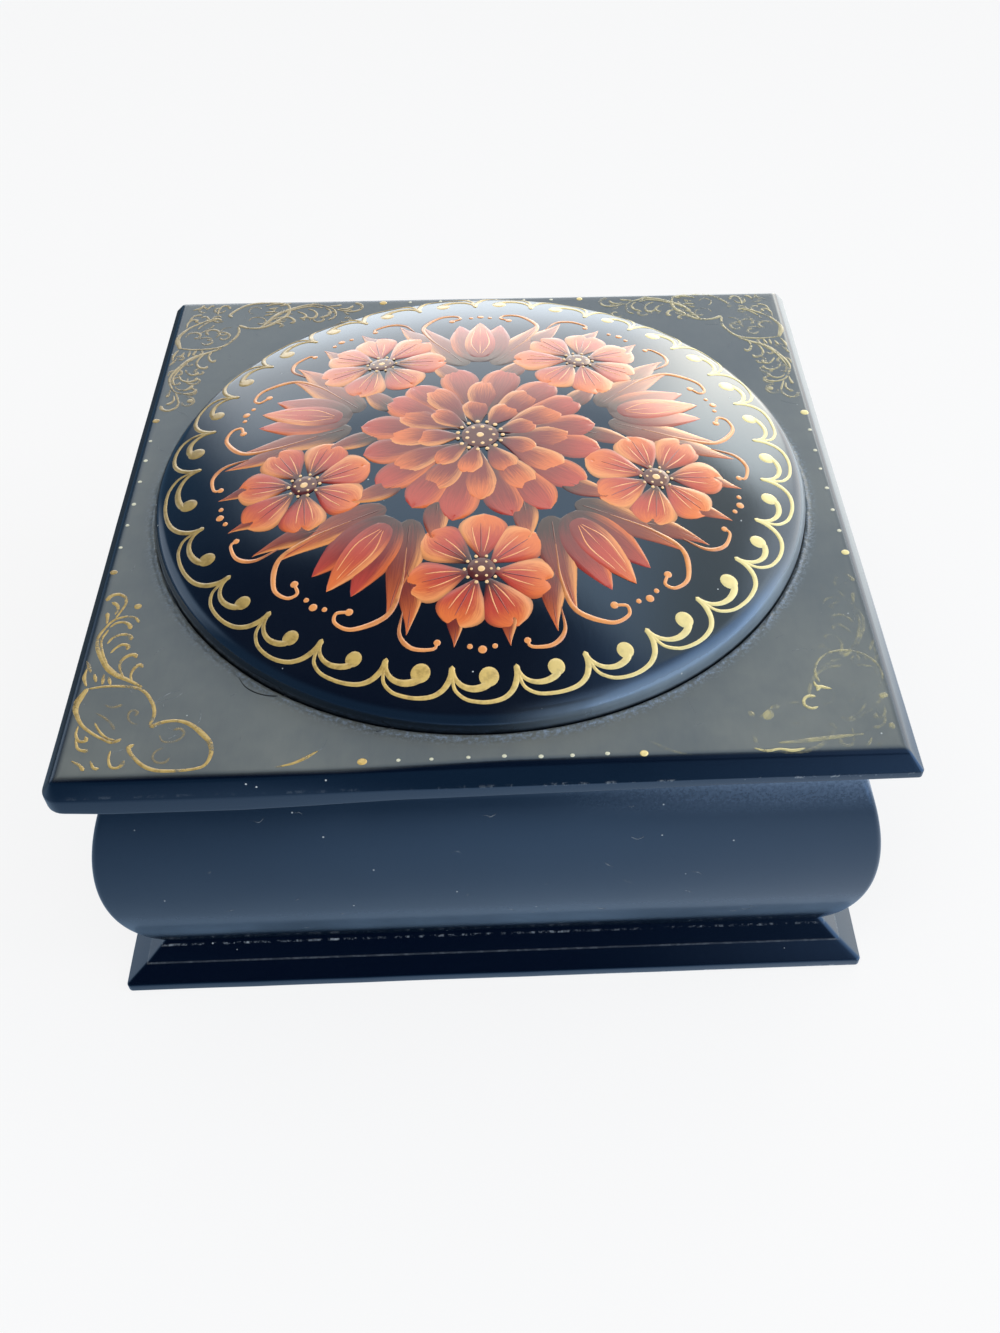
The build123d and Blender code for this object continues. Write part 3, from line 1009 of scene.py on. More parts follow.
class BuildWalls(bpy.types.Operator):
    """Four bulging walls, mitred at the corners and red inside"""

    bl_idname = "lacquer_box.walls"
    bl_label = "Walls"

    def execute(self, context):
        outside = bulge_profile()
        outside[-1] = (neck_half, outside[-1][1])
        top_corner = ((0.0, 0.25), (0.07, 0.07), (0.25, 0.0))
        outside += [(neck_half - inwards, wall_top - down) for inwards, down in top_corner]
        inside = [(inner_half + out, wall_top - down) for out, down in ((0.3, 0.0), (0.08, 0.08), (0.0, 0.3))]
        inside.append((inner_half, base_top))
        profile = outside + inside
        # The bluish film on the walls is mostly a painted reflection of the pale floor, thickest low down.
        black = lacquer(
            "wall lacquer", 0.22, film=0.04, film_and_painted_light_place=wall_film_and_painted_reflection, film_and_painted_light_colour=(0.15, 0.22, 0.30),
            speck=0.022, chips=neck_chips, scuffs_and_sheen=neck_scuffs_and_painted_sheen,
        )
        lining = red_lining()
        along, arc = 110, 6
        for turn, name in enumerate(("front_wall", "right_wall", "back_wall", "left_wall")):
            spin = Matrix.Rotation(math.radians(90 * turn), 3, "Z")
            points, faces, groups = [], [], []
            for index, (half, height) in enumerate(profile):
                rounded = index < len(outside)
                for x, y in self.front_side(half, wall_corner_ease if rounded else 0.02, along, arc):
                    dent = uneven(x, turn * 40.0, height, 17.0, 0.05) if 0 < index < len(outside) - 2 else 0.0
                    fade = min(1.0, (half - abs(x)) / 6.0)
                    points.append(tuple(spin @ Vector((x, y + abs(dent) * fade, height))))
            width = along + 2 * arc
            for row in range(len(profile)):
                after = (row + 1) % len(profile)
                for column in range(width - 1):
                    faces.append((
                        row * width + column, row * width + column + 1,
                        after * width + column + 1, after * width + column,
                    ))
                    groups.append(1 if row >= len(outside) + 1 else 0)
            faces.append(tuple(row * width for row in reversed(range(len(profile)))))
            faces.append(tuple(row * width + width - 1 for row in range(len(profile))))
            groups += [0, 0]
            label = f"bulging_{name}"
            piece = new_piece(label, points, faces, [black, lining], "box", groups, sharp=50.0)
            if name == "back_wall":
                cut_boxes(piece, hinge_cuts("lower", wall_top - leaf_thickness, wall_top + 5.0))
            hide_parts(name)
        return {"FINISHED"}

    def front_side(self, half, ease, along, arc):
        """The front side of an eased square, from one mitre to the other."""
        centre = half - ease
        points = []
        for step in range(arc):
            angle = math.radians(225 + 45 * step / arc)
            points.append((-centre + ease * math.cos(angle), -centre + ease * math.sin(angle)))
        points += [(x, -half) for x in np.linspace(-centre, centre, along)]
        for step in range(1, arc + 1):
            angle = math.radians(270 + 45 * step / arc)
            points.append((centre + ease * math.cos(angle), -centre + ease * math.sin(angle)))
        return points


class BuildLid(bpy.types.Operator):
    """Lid board: lip, bevel, flat top with a rough bead round the disc, cut for the hinges below"""

    bl_idname = "lacquer_box.lid"
    bl_label = "Lid board"

    def execute(self, context):
        lip_top = lid_bottom + lid_lip_height
        corners = [
            (0.0, lid_bottom), (lid_half, lid_bottom), (lid_half, lip_top),
            (lid_half - lid_bevel_run, lid_top), (0.0, lid_top),
        ]
        outline = eased_profile(corners, (*lid_lip_rounds, top_edge_round))[1:-1]
        # The underside is flat as far as the walls, and only the overhang beyond them is uneven
        rings = [(inner_half - 0.5, lid_bottom), (neck_half + 0.3, lid_bottom)] + outline
        rings.append((lid_half - lid_bevel_run - top_edge_round, lid_top))
        points = self.edge_points(rings, lip_top)
        count = len(points) // len(rings)
        points += self.top_points(np.array(points[-count:])[:, :2])
        faces, groups = board_faces(len(points) // count, count, 0, 1)
        # The film on the flat top is thinned at the back and right as painted shade.
        black = lacquer(
            "lid lacquer", 0.22, film=1.0, film_and_painted_light_place=flat_top, film_and_painted_light_colour=(0.157, 0.163, 0.136),
            # The bright line on the lip's edge is partly a painted highlight.
            chips=ridge_highlight_and_wear, rough=crevice_bead,
        )
        finishes = [black, red_lining()]
        piece = new_piece("bevelled_lid", points, faces, finishes, "lid", groups, sharp=50.0)
        cut_boxes(piece, hinge_cuts("upper", lid_bottom - 5.0, lid_bottom + leaf_thickness))
        cut_boxes(piece, barrel_cuts())
        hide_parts("lid_board")
        return {"FINISHED"}

    def edge_points(self, rings, lip_top):
        """Square rings from the underside over the lip and the bevel to the flat top, bent as by hand."""
        points = []
        for index, (half, height) in enumerate(rings):
            top_share = min(1.0, max(0.0, (height - lip_top) / (lid_top - lip_top)))
            ease = lid_corner_ease + (lid_top_corner_ease - lid_corner_ease) * top_share
            worn = lid_worn_corner + (lid_top_corner_ease - lid_worn_corner) * top_share
            drop = np.interp(height, (lid_bottom, lip_top, lid_top), (1.0, 0.35, 0.0)) if index > 1 else 0.0
            for x, y in square_ring(half, ease, worn, along=230):
                wave = 1 - abs(uneven(x, y, 9.0, 23.0, 0.0012))
                forward = min(1.0, max(0.0, 0.1 - 1.1 * y / lid_half))
                rise = np.interp(x, edge_places, lip_rise) * drop * forward
                near_front = np.interp(-y, (30.0, 47.0), (0.0, 1.0))
                lean = np.interp(x, edge_places, edge_forward) * top_share * near_front
                points.append((x * wave, y * wave - lean, height + rise))
        return points

    def top_points(self, edge_ring):
        """The flat top in to the bead round the disc, on rings that turn from square to round."""
        points = []
        angles = np.arctan2(edge_ring[:, 1], edge_ring[:, 0])
        rounds = np.stack((np.cos(angles), np.sin(angles)), axis=1)
        bead_start = disc_radius + crevice_width
        bead_foot = bead_start + bead_width + 0.4
        for share in (0.25, 0.5, 0.75):
            for x, y in edge_ring * (1 - share) + rounds * bead_foot * share:
                points.append((x, y, lid_top))
        bead_rings = [(bead_foot, 0.0)]
        for step in range(9):
            share = 1 - step / 8
            bead_rings.append((bead_start + bead_width * share, math.sin(math.pi * share)))
        for radius, rise in bead_rings:
            for direction in rounds:
                x, y = direction * radius
                lumps = 0.55 + uneven(x, y, 1.0, 0.9, 0.9) + uneven(x, y, 5.0, 4.0, 0.5)
                points.append((x, y, lid_top + bead_height * rise * max(lumps, 0.05)))
        for radius, depth in ((bead_start, 0.12), (bead_start - 0.1, 0.45)):
            for direction in rounds:
                points.append((*(direction * radius), lid_top - depth))
        return points


class BuildDisc(bpy.types.Operator):
    """Domed disc: shallow crown that rolls over into an upright rim"""

    bl_idname = "lacquer_box.disc"
    bl_label = "Domed disc"

    def execute(self, context):
        sides = 360
        crown_edge, crown_steps, rim_steps = 40.0, 40, 24
        outer = disc_radius - 0.02  # just inside the solid disc
        radii = [crown_edge * step / crown_steps for step in range(1, crown_steps + 1)]
        for step in range(1, rim_steps + 1):
            radii.append(crown_edge + (outer - crown_edge) * math.sin(math.pi / 2 * step / rim_steps))
        profile = [(radius, disc_height(radius, 0.0)) for radius in radii]
        low_edge = profile[-1][1]
        for share in (0.35, 0.7, 1.0):
            profile.append((outer, low_edge + (disc_bottom - low_edge) * share))
        points = [(0.0, 0.0, disc_height(0.0, 0.0))]
        for radius, height in profile:
            for side in range(sides):
                angle = math.tau * side / sides
                points.append((radius * math.cos(angle), radius * math.sin(angle), height))
        faces = round_faces(0, len(profile), sides)
        last = 1 + (len(profile) - 1) * sides
        faces.append(tuple(reversed(range(last, last + sides))))
        # The pale bluish film low on the rim at the right is a painted reflection of the window.
        black = lacquer(
            "dome lacquer", 0.10, film=0.02, film_and_painted_light_place=dome_film_and_painted_rim_reflection, film_and_painted_light_colour=(0.22, 0.27, 0.30), speck=0.05,
            waviness=0.35,
        )
        piece = new_piece("painted_dome", points, faces, [black], "lid", sharp=50.0)
        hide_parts("domed_disc")
        return {"FINISHED"}


class PaintBorder(bpy.types.Operator):
    """Gold scalloped border with a comma in each cell, round the dome"""

    bl_idname = "lacquer_box.border"
    bl_label = "Scalloped border"

    def execute(self, context):
        brush = Brush(on_dome)
        outer = settings().border_radius / MM
        spare = 360.0 - sum(cell_spans)
        spans = list(cell_spans) + [spare / back_cells] * back_cells
        angle = border_start
        for span in spans:
            lean = brush.hand.uniform(-0.02, 0.02)
            drop = brush.hand.uniform(-0.2, 0.35)
            size = brush.hand.uniform(0.88, 1.1)

            def place(share, depth):
                turn = math.radians(angle + span * (share + lean * math.sin(math.pi * share)))
                wider = np.interp(math.sin(turn), (0.2, 0.65), (0.0, 1.2))
                radius = outer + wider - depth - drop * math.sin(math.pi * min(share, 1.0))
                return radius * math.cos(turn), radius * math.sin(turn)

            brush.stroke([place(*point) for point in scallop_arc], (0.40, 0.45, 0.48, 0.52, 0.64, 0.76, 0.74))
            comma = [0.62, 0.54, 0.58, 0.70, 0.84, 0.92, 0.9]
            brush.stroke([place(*point) for point in scallop_comma], [width * size for width in comma])
            turn = math.radians(angle + span * 0.5)
            brush.spot(place(*scallop_ball), 1.2 * size, squash=0.92, turn=turn)
            angle += span
        brush.piece("scallop_border", gold_paint("border gold"))
        return {"FINISHED"}


class PaintCorners(bpy.types.Operator):
    """Gold scroll ornament in the corners of the lid board, rubbed thin at the front right"""

    bl_idname = "lacquer_box.corners"
    bl_label = "Corner scrolls"

    def execute(self, context):
        # Corner, its side and end of the lid board, plumes on both edges or one, rubbing, cover and shade
        places = (
            ("front_left", -1, -1, False, 0.40, 0.80, 0.80),
            ("front_right", 1, -1, False, 0.52, 0.19, 0.45),
            ("back_left", -1, 1, True, 0.38, 0.86, 0.62),
            ("back_right", 1, 1, True, 0.44, 0.66, 0.56),
        )
        for name, across, along, both_edges, rub, cover, shade in places:
            label = name.replace("_", " ")
            brush = Brush(on_lid, relief=0.035)
            corner_strokes(brush, across, along)
            if both_edges:
                corner_strokes(brush, across, along, swap=True, rings=False)
            else:
                brush.stroke(mirrored(front_sweep, across, along), (0.15, 0.35, 0.5, 0.15))
            brush.spot(mirrored([(6.7, 28.4)], across, along)[0], 0.5)
            dull = 0.5 if both_edges else 0.0
            gold = gold_paint(f"corner gold {label}", rub, cover, shade, dull)
            brush.piece(f"corner_scroll_{name}", gold)
            curls = Brush(on_lid, layer=-1, relief=0.035)
            for curl in inner_curls:
                curls.stroke(mirrored(curl, across, along), (0.12, 0.30, 0.34, 0.44), curls.hand.random())
            if both_edges:
                for area, count, size in fine_curl_areas:
                    fine_curls(curls, across, along, area, count, size)
            faint = 0.75 if both_edges else 0.42
            gold = gold_paint(f"faint gold {label}", rub + 0.04, cover * faint, shade * 0.85, dull)
            curls.piece(f"fine_curls_{name}", gold)
        self.paint_rubbed_corner()
        return {"FINISHED"}

    def paint_rubbed_corner(self):
        """The few strokes that are still whole at the front right"""
        clear = Brush(on_lid, relief=0.04)
        clear.stroke(rubbed_flame, (0.30, 0.62, 0.45, 0.15))
        clear.stroke(rubbed_spur, (0.20, 0.40, 0.45))
        clear.stroke(rubbed_hook, (0.45, 0.42, 0.40, 0.42, 0.30))
        clear.stroke(rubbed_foot, (0.15, 0.42, 0.30, 0.45, 0.2))
        clear.piece("rubbed_strokes", gold_paint("rubbed stroke gold", 0.36, 0.72, 0.72))
        faint = Brush(on_lid, relief=0.03)
        x, y, radius = rubbed_ring
        turns = [math.radians(200 - 20 * step) for step in range(13)]
        ring = [(x + radius * math.cos(turn), y + radius * 0.95 * math.sin(turn)) for turn in turns]
        faint.stroke(ring, (0.35, 0.3, 0.4, 0.2))
        faint.stroke(rubbed_smear, (0.2, 0.7, 0.6, 0.2))
        for x, y, size in rubbed_blots:
            faint.spot((x, y), size, squash=0.75, turn=faint.hand.uniform(0, 3))
        faint.piece("rubbed_traces", gold_paint("rubbed trace gold", 0.44, 0.30, 0.5))


class PaintDots(bpy.types.Operator):
    """Rows of gold dots between the corner scrolls"""

    bl_idname = "lacquer_box.dots"
    bl_label = "Edge dots"

    def execute(self, context):
        end_dots, small_dots = Brush(on_lid), Brush(on_lid)
        hand = end_dots.hand
        inset = 2.6
        rows = ((-13.7, 18.0, 9), (-15.1, 15.4, 8), (-16.0, 16.0, 8), (-16.7, 15.3, 8))
        for turn, (start, end, count) in enumerate(rows):
            spin = Matrix.Rotation(math.radians(90 * turn), 2)
            for index in range(count):
                x = start + (end - start) * index / (count - 1) + hand.uniform(-0.25, 0.25)
                y = -lid_half + inset + hand.uniform(-0.12, 0.12)
                end_dot = index in (0, count - 1)
                radius = (0.55 if end_dot else 0.28) * hand.uniform(0.9, 1.15)
                brush = end_dots if end_dot else small_dots
                brush.spot(spin @ Vector((x, y)), radius, squash=hand.uniform(0.85, 1.0))
        end_dots.piece("end_dots", gold_paint("end dot gold", shade=1.1))
        small_dots.piece("small_dots", plain_paint("small dot paint", (0.46, 0.44, 0.30), (0.70, 0.70, 0.52)))
        return {"FINISHED"}


class PaintMedallion(bpy.types.Operator):
    """Flower medallion of the dome: a many-petalled bloom in a ring of small blossoms, buds and leaves"""

    bl_idname = "lacquer_box.medallion"
    bl_label = "Flower medallion"

    maroon = (0.040, 0.005, 0.006)
    deep_red = (0.22, 0.014, 0.012)
    coral = (0.55, 0.055, 0.030)
    orange = (0.86, 0.20, 0.042)
    peach = (1.0, 0.42, 0.14)
    sectors = 5
    blossom_petals = 7
    blossom_reach = 24.0
    bud_reach = 18.5

    def execute(self, context):
        self.paint_leaves()
        self.paint_bloom()
        self.paint_blossoms()
        self.paint_buds()
        self.paint_tendrils()
        self.paint_veins()
        self.paint_hearts()
        self.paint_lights()
        return {"FINISHED"}

    def bud_turns(self):
        return [math.radians(90) + math.tau * index / self.sectors for index in range(self.sectors)]

    def blossom_turns(self):
        return [turn + math.pi / self.sectors for turn in self.bud_turns()]

    def three_dots(self, brush, reach, turn):
        """A large dot and two small ones beside it"""
        brush.spot(around(reach, turn), 0.52)
        for side in (1, -1):
            brush.spot(around(reach - 0.4, turn + side * 0.042), 0.34)

    def paint_bloom(self):
        # Count of petals, reach of their roots, length, width, and colours of their tips and edges
        whorls = (
            ("bloom_outer_petals", 16, 4.5, 12.0, 5.4, self.coral, self.orange, 1),
            ("bloom_middle_petals", 12, 3.0, 9.8, 5.0, self.orange, self.peach, 2),
            ("bloom_inner_petals", 9, 1.8, 6.6, 4.0, self.orange, self.peach, 3),
        )
        for name, count, root, length, width, tip, edge, layer in whorls:
            brush = Brush(on_dome, layer=layer)
            for index in range(count):
                angle = math.tau * (index + 0.5 * (layer % 2)) / count + brush.hand.uniform(-0.05, 0.05)
                reach = length * brush.hand.uniform(0.92, 1.05)
                bend = brush.hand.uniform(-0.05, 0.05)
                tone = brush.hand.random()
                brush.petal(around(root, angle), angle, reach, width, bend, 0.05, 0.70, tone)
            paint = petal_paint(f"{name.replace('_', ' ')} paint", self.maroon, self.deep_red, tip, edge)
            brush.piece(name, paint)

    def paint_blossoms(self):
        brush = Brush(on_dome, layer=2)
        for turn in self.blossom_turns():
            centre = around(self.blossom_reach, turn)
            for petal in range(self.blossom_petals):
                angle = turn + math.tau * (petal + 0.5) / self.blossom_petals
                angle += brush.hand.uniform(-0.06, 0.06)
                length = 7.9 * brush.hand.uniform(0.93, 1.07)
                root = centre + around(1.2, angle)
                brush.petal(root, angle, length, 6.2, notch=0.16, belly=0.68, tone=brush.hand.random())
        paint = petal_paint("blossom paint", self.maroon, self.coral, self.orange, self.peach)
        brush.piece("side_blossoms", paint)

    def paint_buds(self):
        """Closed buds: two dark outer petals each side of a bright middle one"""
        outer, middle = Brush(on_dome, layer=1), Brush(on_dome, layer=3)
        for turn in self.bud_turns():
            root = around(self.bud_reach, turn)
            for side in (1, -1):
                outer.petal(root, turn + side * 0.44, 12.6, 5.8, bend=-side * 0.20, belly=0.46, point=0.5,
                            tone=outer.hand.random())
            middle.petal(root + around(1.0, turn), turn, 12.4, 5.4, belly=0.42, point=0.5,
                         tone=middle.hand.random())
        dark = petal_paint("bud outer paint", self.maroon, self.deep_red, self.coral, self.orange)
        outer.piece("bud_outer_petals", dark)
        bright = petal_paint("bud middle paint", self.deep_red, self.coral, self.orange, self.peach)
        middle.piece("bud_middle_petals", bright)

    def paint_leaves(self):
        brush, ribs = Brush(on_dome), Brush(on_dome, layer=1, relief=0.03)
        # Where a leaf starts, how far it springs from the bud's line and leans, its length, width and bend
        sprays = ((17.5, 0.10, 0.62, 15.5, 5.2, -0.16), (24.5, 0.24, 0.95, 10.0, 3.8, -0.30),
                  (13.5, 0.22, 0.50, 8.0, 3.6, 0.10), (29.0, 0.50, 0.98, 6.0, 2.6, -0.30))
        for turn in self.bud_turns():
            for mirror in (1, -1):
                for start, spring, lean, length, width, bend in sprays:
                    root = around(start, turn + mirror * spring)
                    angle = turn + mirror * lean
                    brush.petal(root, angle, length, width, bend=mirror * bend, belly=0.40, point=0.85,
                                tone=brush.hand.random())
                    aside = around(1.0, angle + math.pi / 2) * mirror * bend
                    shares = (0.08, 0.45, 0.9)
                    line = [root + around(length * u, angle) + aside * length * u * u for u in shares]
                    ribs.stroke(line, (0.14, 0.34, 0.10))
        colours = ((0.022, 0.004, 0.003), (0.20, 0.020, 0.010), (0.68, 0.15, 0.032), (1.0, 0.42, 0.12))
        brush.piece("leaf_sprays", petal_paint("leaf paint", *colours))
        ribs.piece("leaf_ribs", plain_paint("leaf rib paint", (0.09, 0.010, 0.006), (0.22, 0.03, 0.012)))

    def paint_tendrils(self):
        brush = Brush(on_dome, layer=1)
        # Reach from the middle and lean from the bud's line
        curl = ((22.0, 0.20), (27.5, 0.27), (32.0, 0.27), (35.0, 0.18), (35.1, 0.11), (33.9, 0.09),
                (33.1, 0.13))
        small_curl = ((31.0, 0.32), (34.2, 0.34), (35.7, 0.395), (35.5, 0.465), (34.6, 0.475))
        for turn in self.bud_turns():
            for mirror in (1, -1):
                def place(points):
                    return [around(reach, turn + mirror * lean) for reach, lean in points]

                brush.stroke(place(curl), (0.15, 0.30, 0.60, 0.72, 0.50, 0.40), brush.hand.random())
                brush.stroke(place(small_curl), (0.12, 0.40, 0.62, 0.48, 0.36), brush.hand.random())
                brush.spot(place(curl)[-1], 0.50)
                brush.spot(place(small_curl)[-1], 0.42)
            self.three_dots(brush, 34.4, turn)
        for turn in self.blossom_turns():
            self.three_dots(brush, 35.3, turn)
        brush.piece("tendrils", plain_paint("tendril paint", (0.40, 0.11, 0.03), (0.90, 0.36, 0.10)))

    def paint_veins(self):
        """Fine light and dark lines on the petals of the blossoms and buds"""
        light, dark = Brush(on_dome, layer=4, relief=0.03), Brush(on_dome, layer=4, relief=0.03)
        for turn in self.blossom_turns():
            centre = around(self.blossom_reach, turn)
            for petal in range(self.blossom_petals):
                angle = turn + math.tau * (petal + 0.5) / self.blossom_petals
                for side in (-1, 0, 1):
                    lean = side * 0.13
                    start = centre + around(2.6, angle + lean * 0.9)
                    end = centre + around(7.4 - abs(side) * 0.5, angle + lean * 1.25)
                    brush = light if side % 2 else dark
                    middle = (start + end) / 2 + around(0.12 * side, angle + 1.57)
                    brush.stroke((start, middle, end), (0.10, 0.20, 0.06))
        for turn in self.bud_turns():
            root = around(self.bud_reach, turn)
            for side in (-1, 0, 1):
                tip = root + around(11.4 - abs(side), turn + side * 0.08)
                bulge = root + around(6.0, turn + side * 0.22)
                light.stroke((root + around(2.4, turn + side * 0.1), bulge, tip), (0.10, 0.28, 0.08))
        light.piece("light_veins", plain_paint("light vein paint", (0.92, 0.30, 0.09), (1.0, 0.50, 0.20)))
        dark.piece("dark_veins", plain_paint("dark vein paint", (0.10, 0.01, 0.01), (0.25, 0.02, 0.015)))

    def paint_hearts(self):
        brush = Brush(on_dome, layer=5)
        brush.spot((0.0, 0.0), 2.5)
        for turn in self.blossom_turns():
            brush.spot(around(self.blossom_reach, turn), 1.75)
        brush.piece("flower_hearts", plain_paint("heart paint", (0.025, 0.005, 0.005), (0.09, 0.012, 0.010)))

    def ring_of_dots(self, brush, centre, reach, count, size):
        for index in range(count):
            place = centre + around(reach, math.tau * index / count)
            brush.spot(place, size * brush.hand.uniform(0.85, 1.1))

    def paint_lights(self):
        """Light dots in the hearts, between the petals and at the rim of the medallion"""
        brush = Brush(on_dome, layer=6)
        middle = np.zeros(2)
        for reach, count, size in ((3.0, 15, 0.30), (1.8, 9, 0.28), (0.0, 1, 0.62)):
            self.ring_of_dots(brush, middle, reach, count, size)
        for turn in self.blossom_turns():
            centre = around(self.blossom_reach, turn)
            self.ring_of_dots(brush, centre, 2.05, 10, 0.22)
            self.ring_of_dots(brush, centre, 1.2, 6, 0.20)
            self.ring_of_dots(brush, centre, 0.0, 1, 0.55)
        brush.piece("light_dots", plain_paint("light dot paint", (0.95, 0.48, 0.16), (1.0, 0.66, 0.30)))


class AddMarks(bpy.types.Operator):
    """Signs of age: dark hairs near the disc, fine scratches on the lid and flecks on the front wall"""

    bl_idname = "lacquer_box.marks"
    bl_label = "Hairs and scratches"

    hair = ((-29.2, -34.2), (-28.2, -35.7), (-26.6, -36.8), (-24.6, -37.3), (-22.4, -37.2))
    short_hairs = (
        ((-12.4, -43.2), (-10.6, -42.7), (-8.6, -42.9)),
        ((-3.2, -42.9), (-1.6, -43.2), (0.2, -44.1)),
    )
    loop = ((-38.7, -38.2), (-37.9, -37.1), (-36.9, -36.3), (-35.9, -36.0), (-35.6, -36.5), (-36.4, -37.1),
            (-37.4, -37.4), (-38.2, -37.9))

    def execute(self, context):
        dark = Brush(on_lid, relief=0.08)
        dark.stroke(self.hair, (0.10, 0.14, 0.14, 0.10))
        for hair in self.short_hairs:
            dark.stroke(hair, (0.05, 0.10, 0.04))
        hair_black = plain_paint("hair", (0.004, 0.004, 0.004), (0.012, 0.010, 0.008))
        dark.piece("stray_hairs", hair_black, "lacquer")
        self.scratch_lid()
        self.fleck_front()
        return {"FINISHED"}

    def short_line(self, brush, x, y, length, turn, bend, width):
        centre = np.array((x, y))
        ahead = around(length, turn) / 2
        middle = centre + np.array((-ahead[1], ahead[0])) * bend
        brush.stroke((centre - ahead, middle, centre + ahead), (width * 0.4, width, width * 0.3))

    def scratch_lid(self):
        brush = Brush(on_lid, relief=0.008)
        brush.stroke(self.loop, (0.05, 0.09, 0.05, 0.08, 0.05))
        pick = random.Random(settings().hand_seed + 1)
        reach = lid_half - lid_bevel_run - 2.0
        left = round(60 * settings().wear)
        while left > 0:
            x, y = pick.uniform(-reach, reach), pick.uniform(-reach, reach)
            if math.hypot(x, y) < disc_radius + 2.5:
                continue
            length, turn = pick.uniform(0.6, 3.0), pick.uniform(0, math.pi)
            bend, width = pick.uniform(-0.3, 0.3), pick.uniform(0.03, 0.07)
            self.short_line(brush, x, y, length, turn, bend, width)
            left -= 1
        brush.piece("fine_scratches", scratch_finish("fine scratches", 0.45), "lacquer")

    def fleck_front(self):
        brush = Brush(on_front, relief=0.01)
        pick = random.Random(settings().hand_seed + 2)
        for _ in range(round(26 * settings().wear)):
            x, z = pick.uniform(-42.0, 42.0), pick.uniform(base_top + 6.0, wall_top - 6.0)
            length, turn = pick.uniform(0.3, 1.8), pick.uniform(-0.9, 0.9)
            bend, width = pick.uniform(-0.6, 0.6), pick.uniform(0.05, 0.12)
            self.short_line(brush, x, z, length, turn, bend, width)
        brush.piece("front_flecks", scratch_finish("wall flecks", 0.55), "lacquer", "box")


class FitHinges(bpy.types.Operator):
    """Dull brass for the two hinges, their pins and screws"""

    bl_idname = "lacquer_box.hinges"
    bl_label = "Hinges"

    def execute(self, context):
        brass = dull_brass()
        for name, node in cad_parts.items():
            if "leaf" in name or "pin" in name or "screws" in name:
                node.data.materials.clear()
                node.data.materials.append(brass)
        return {"FINISHED"}


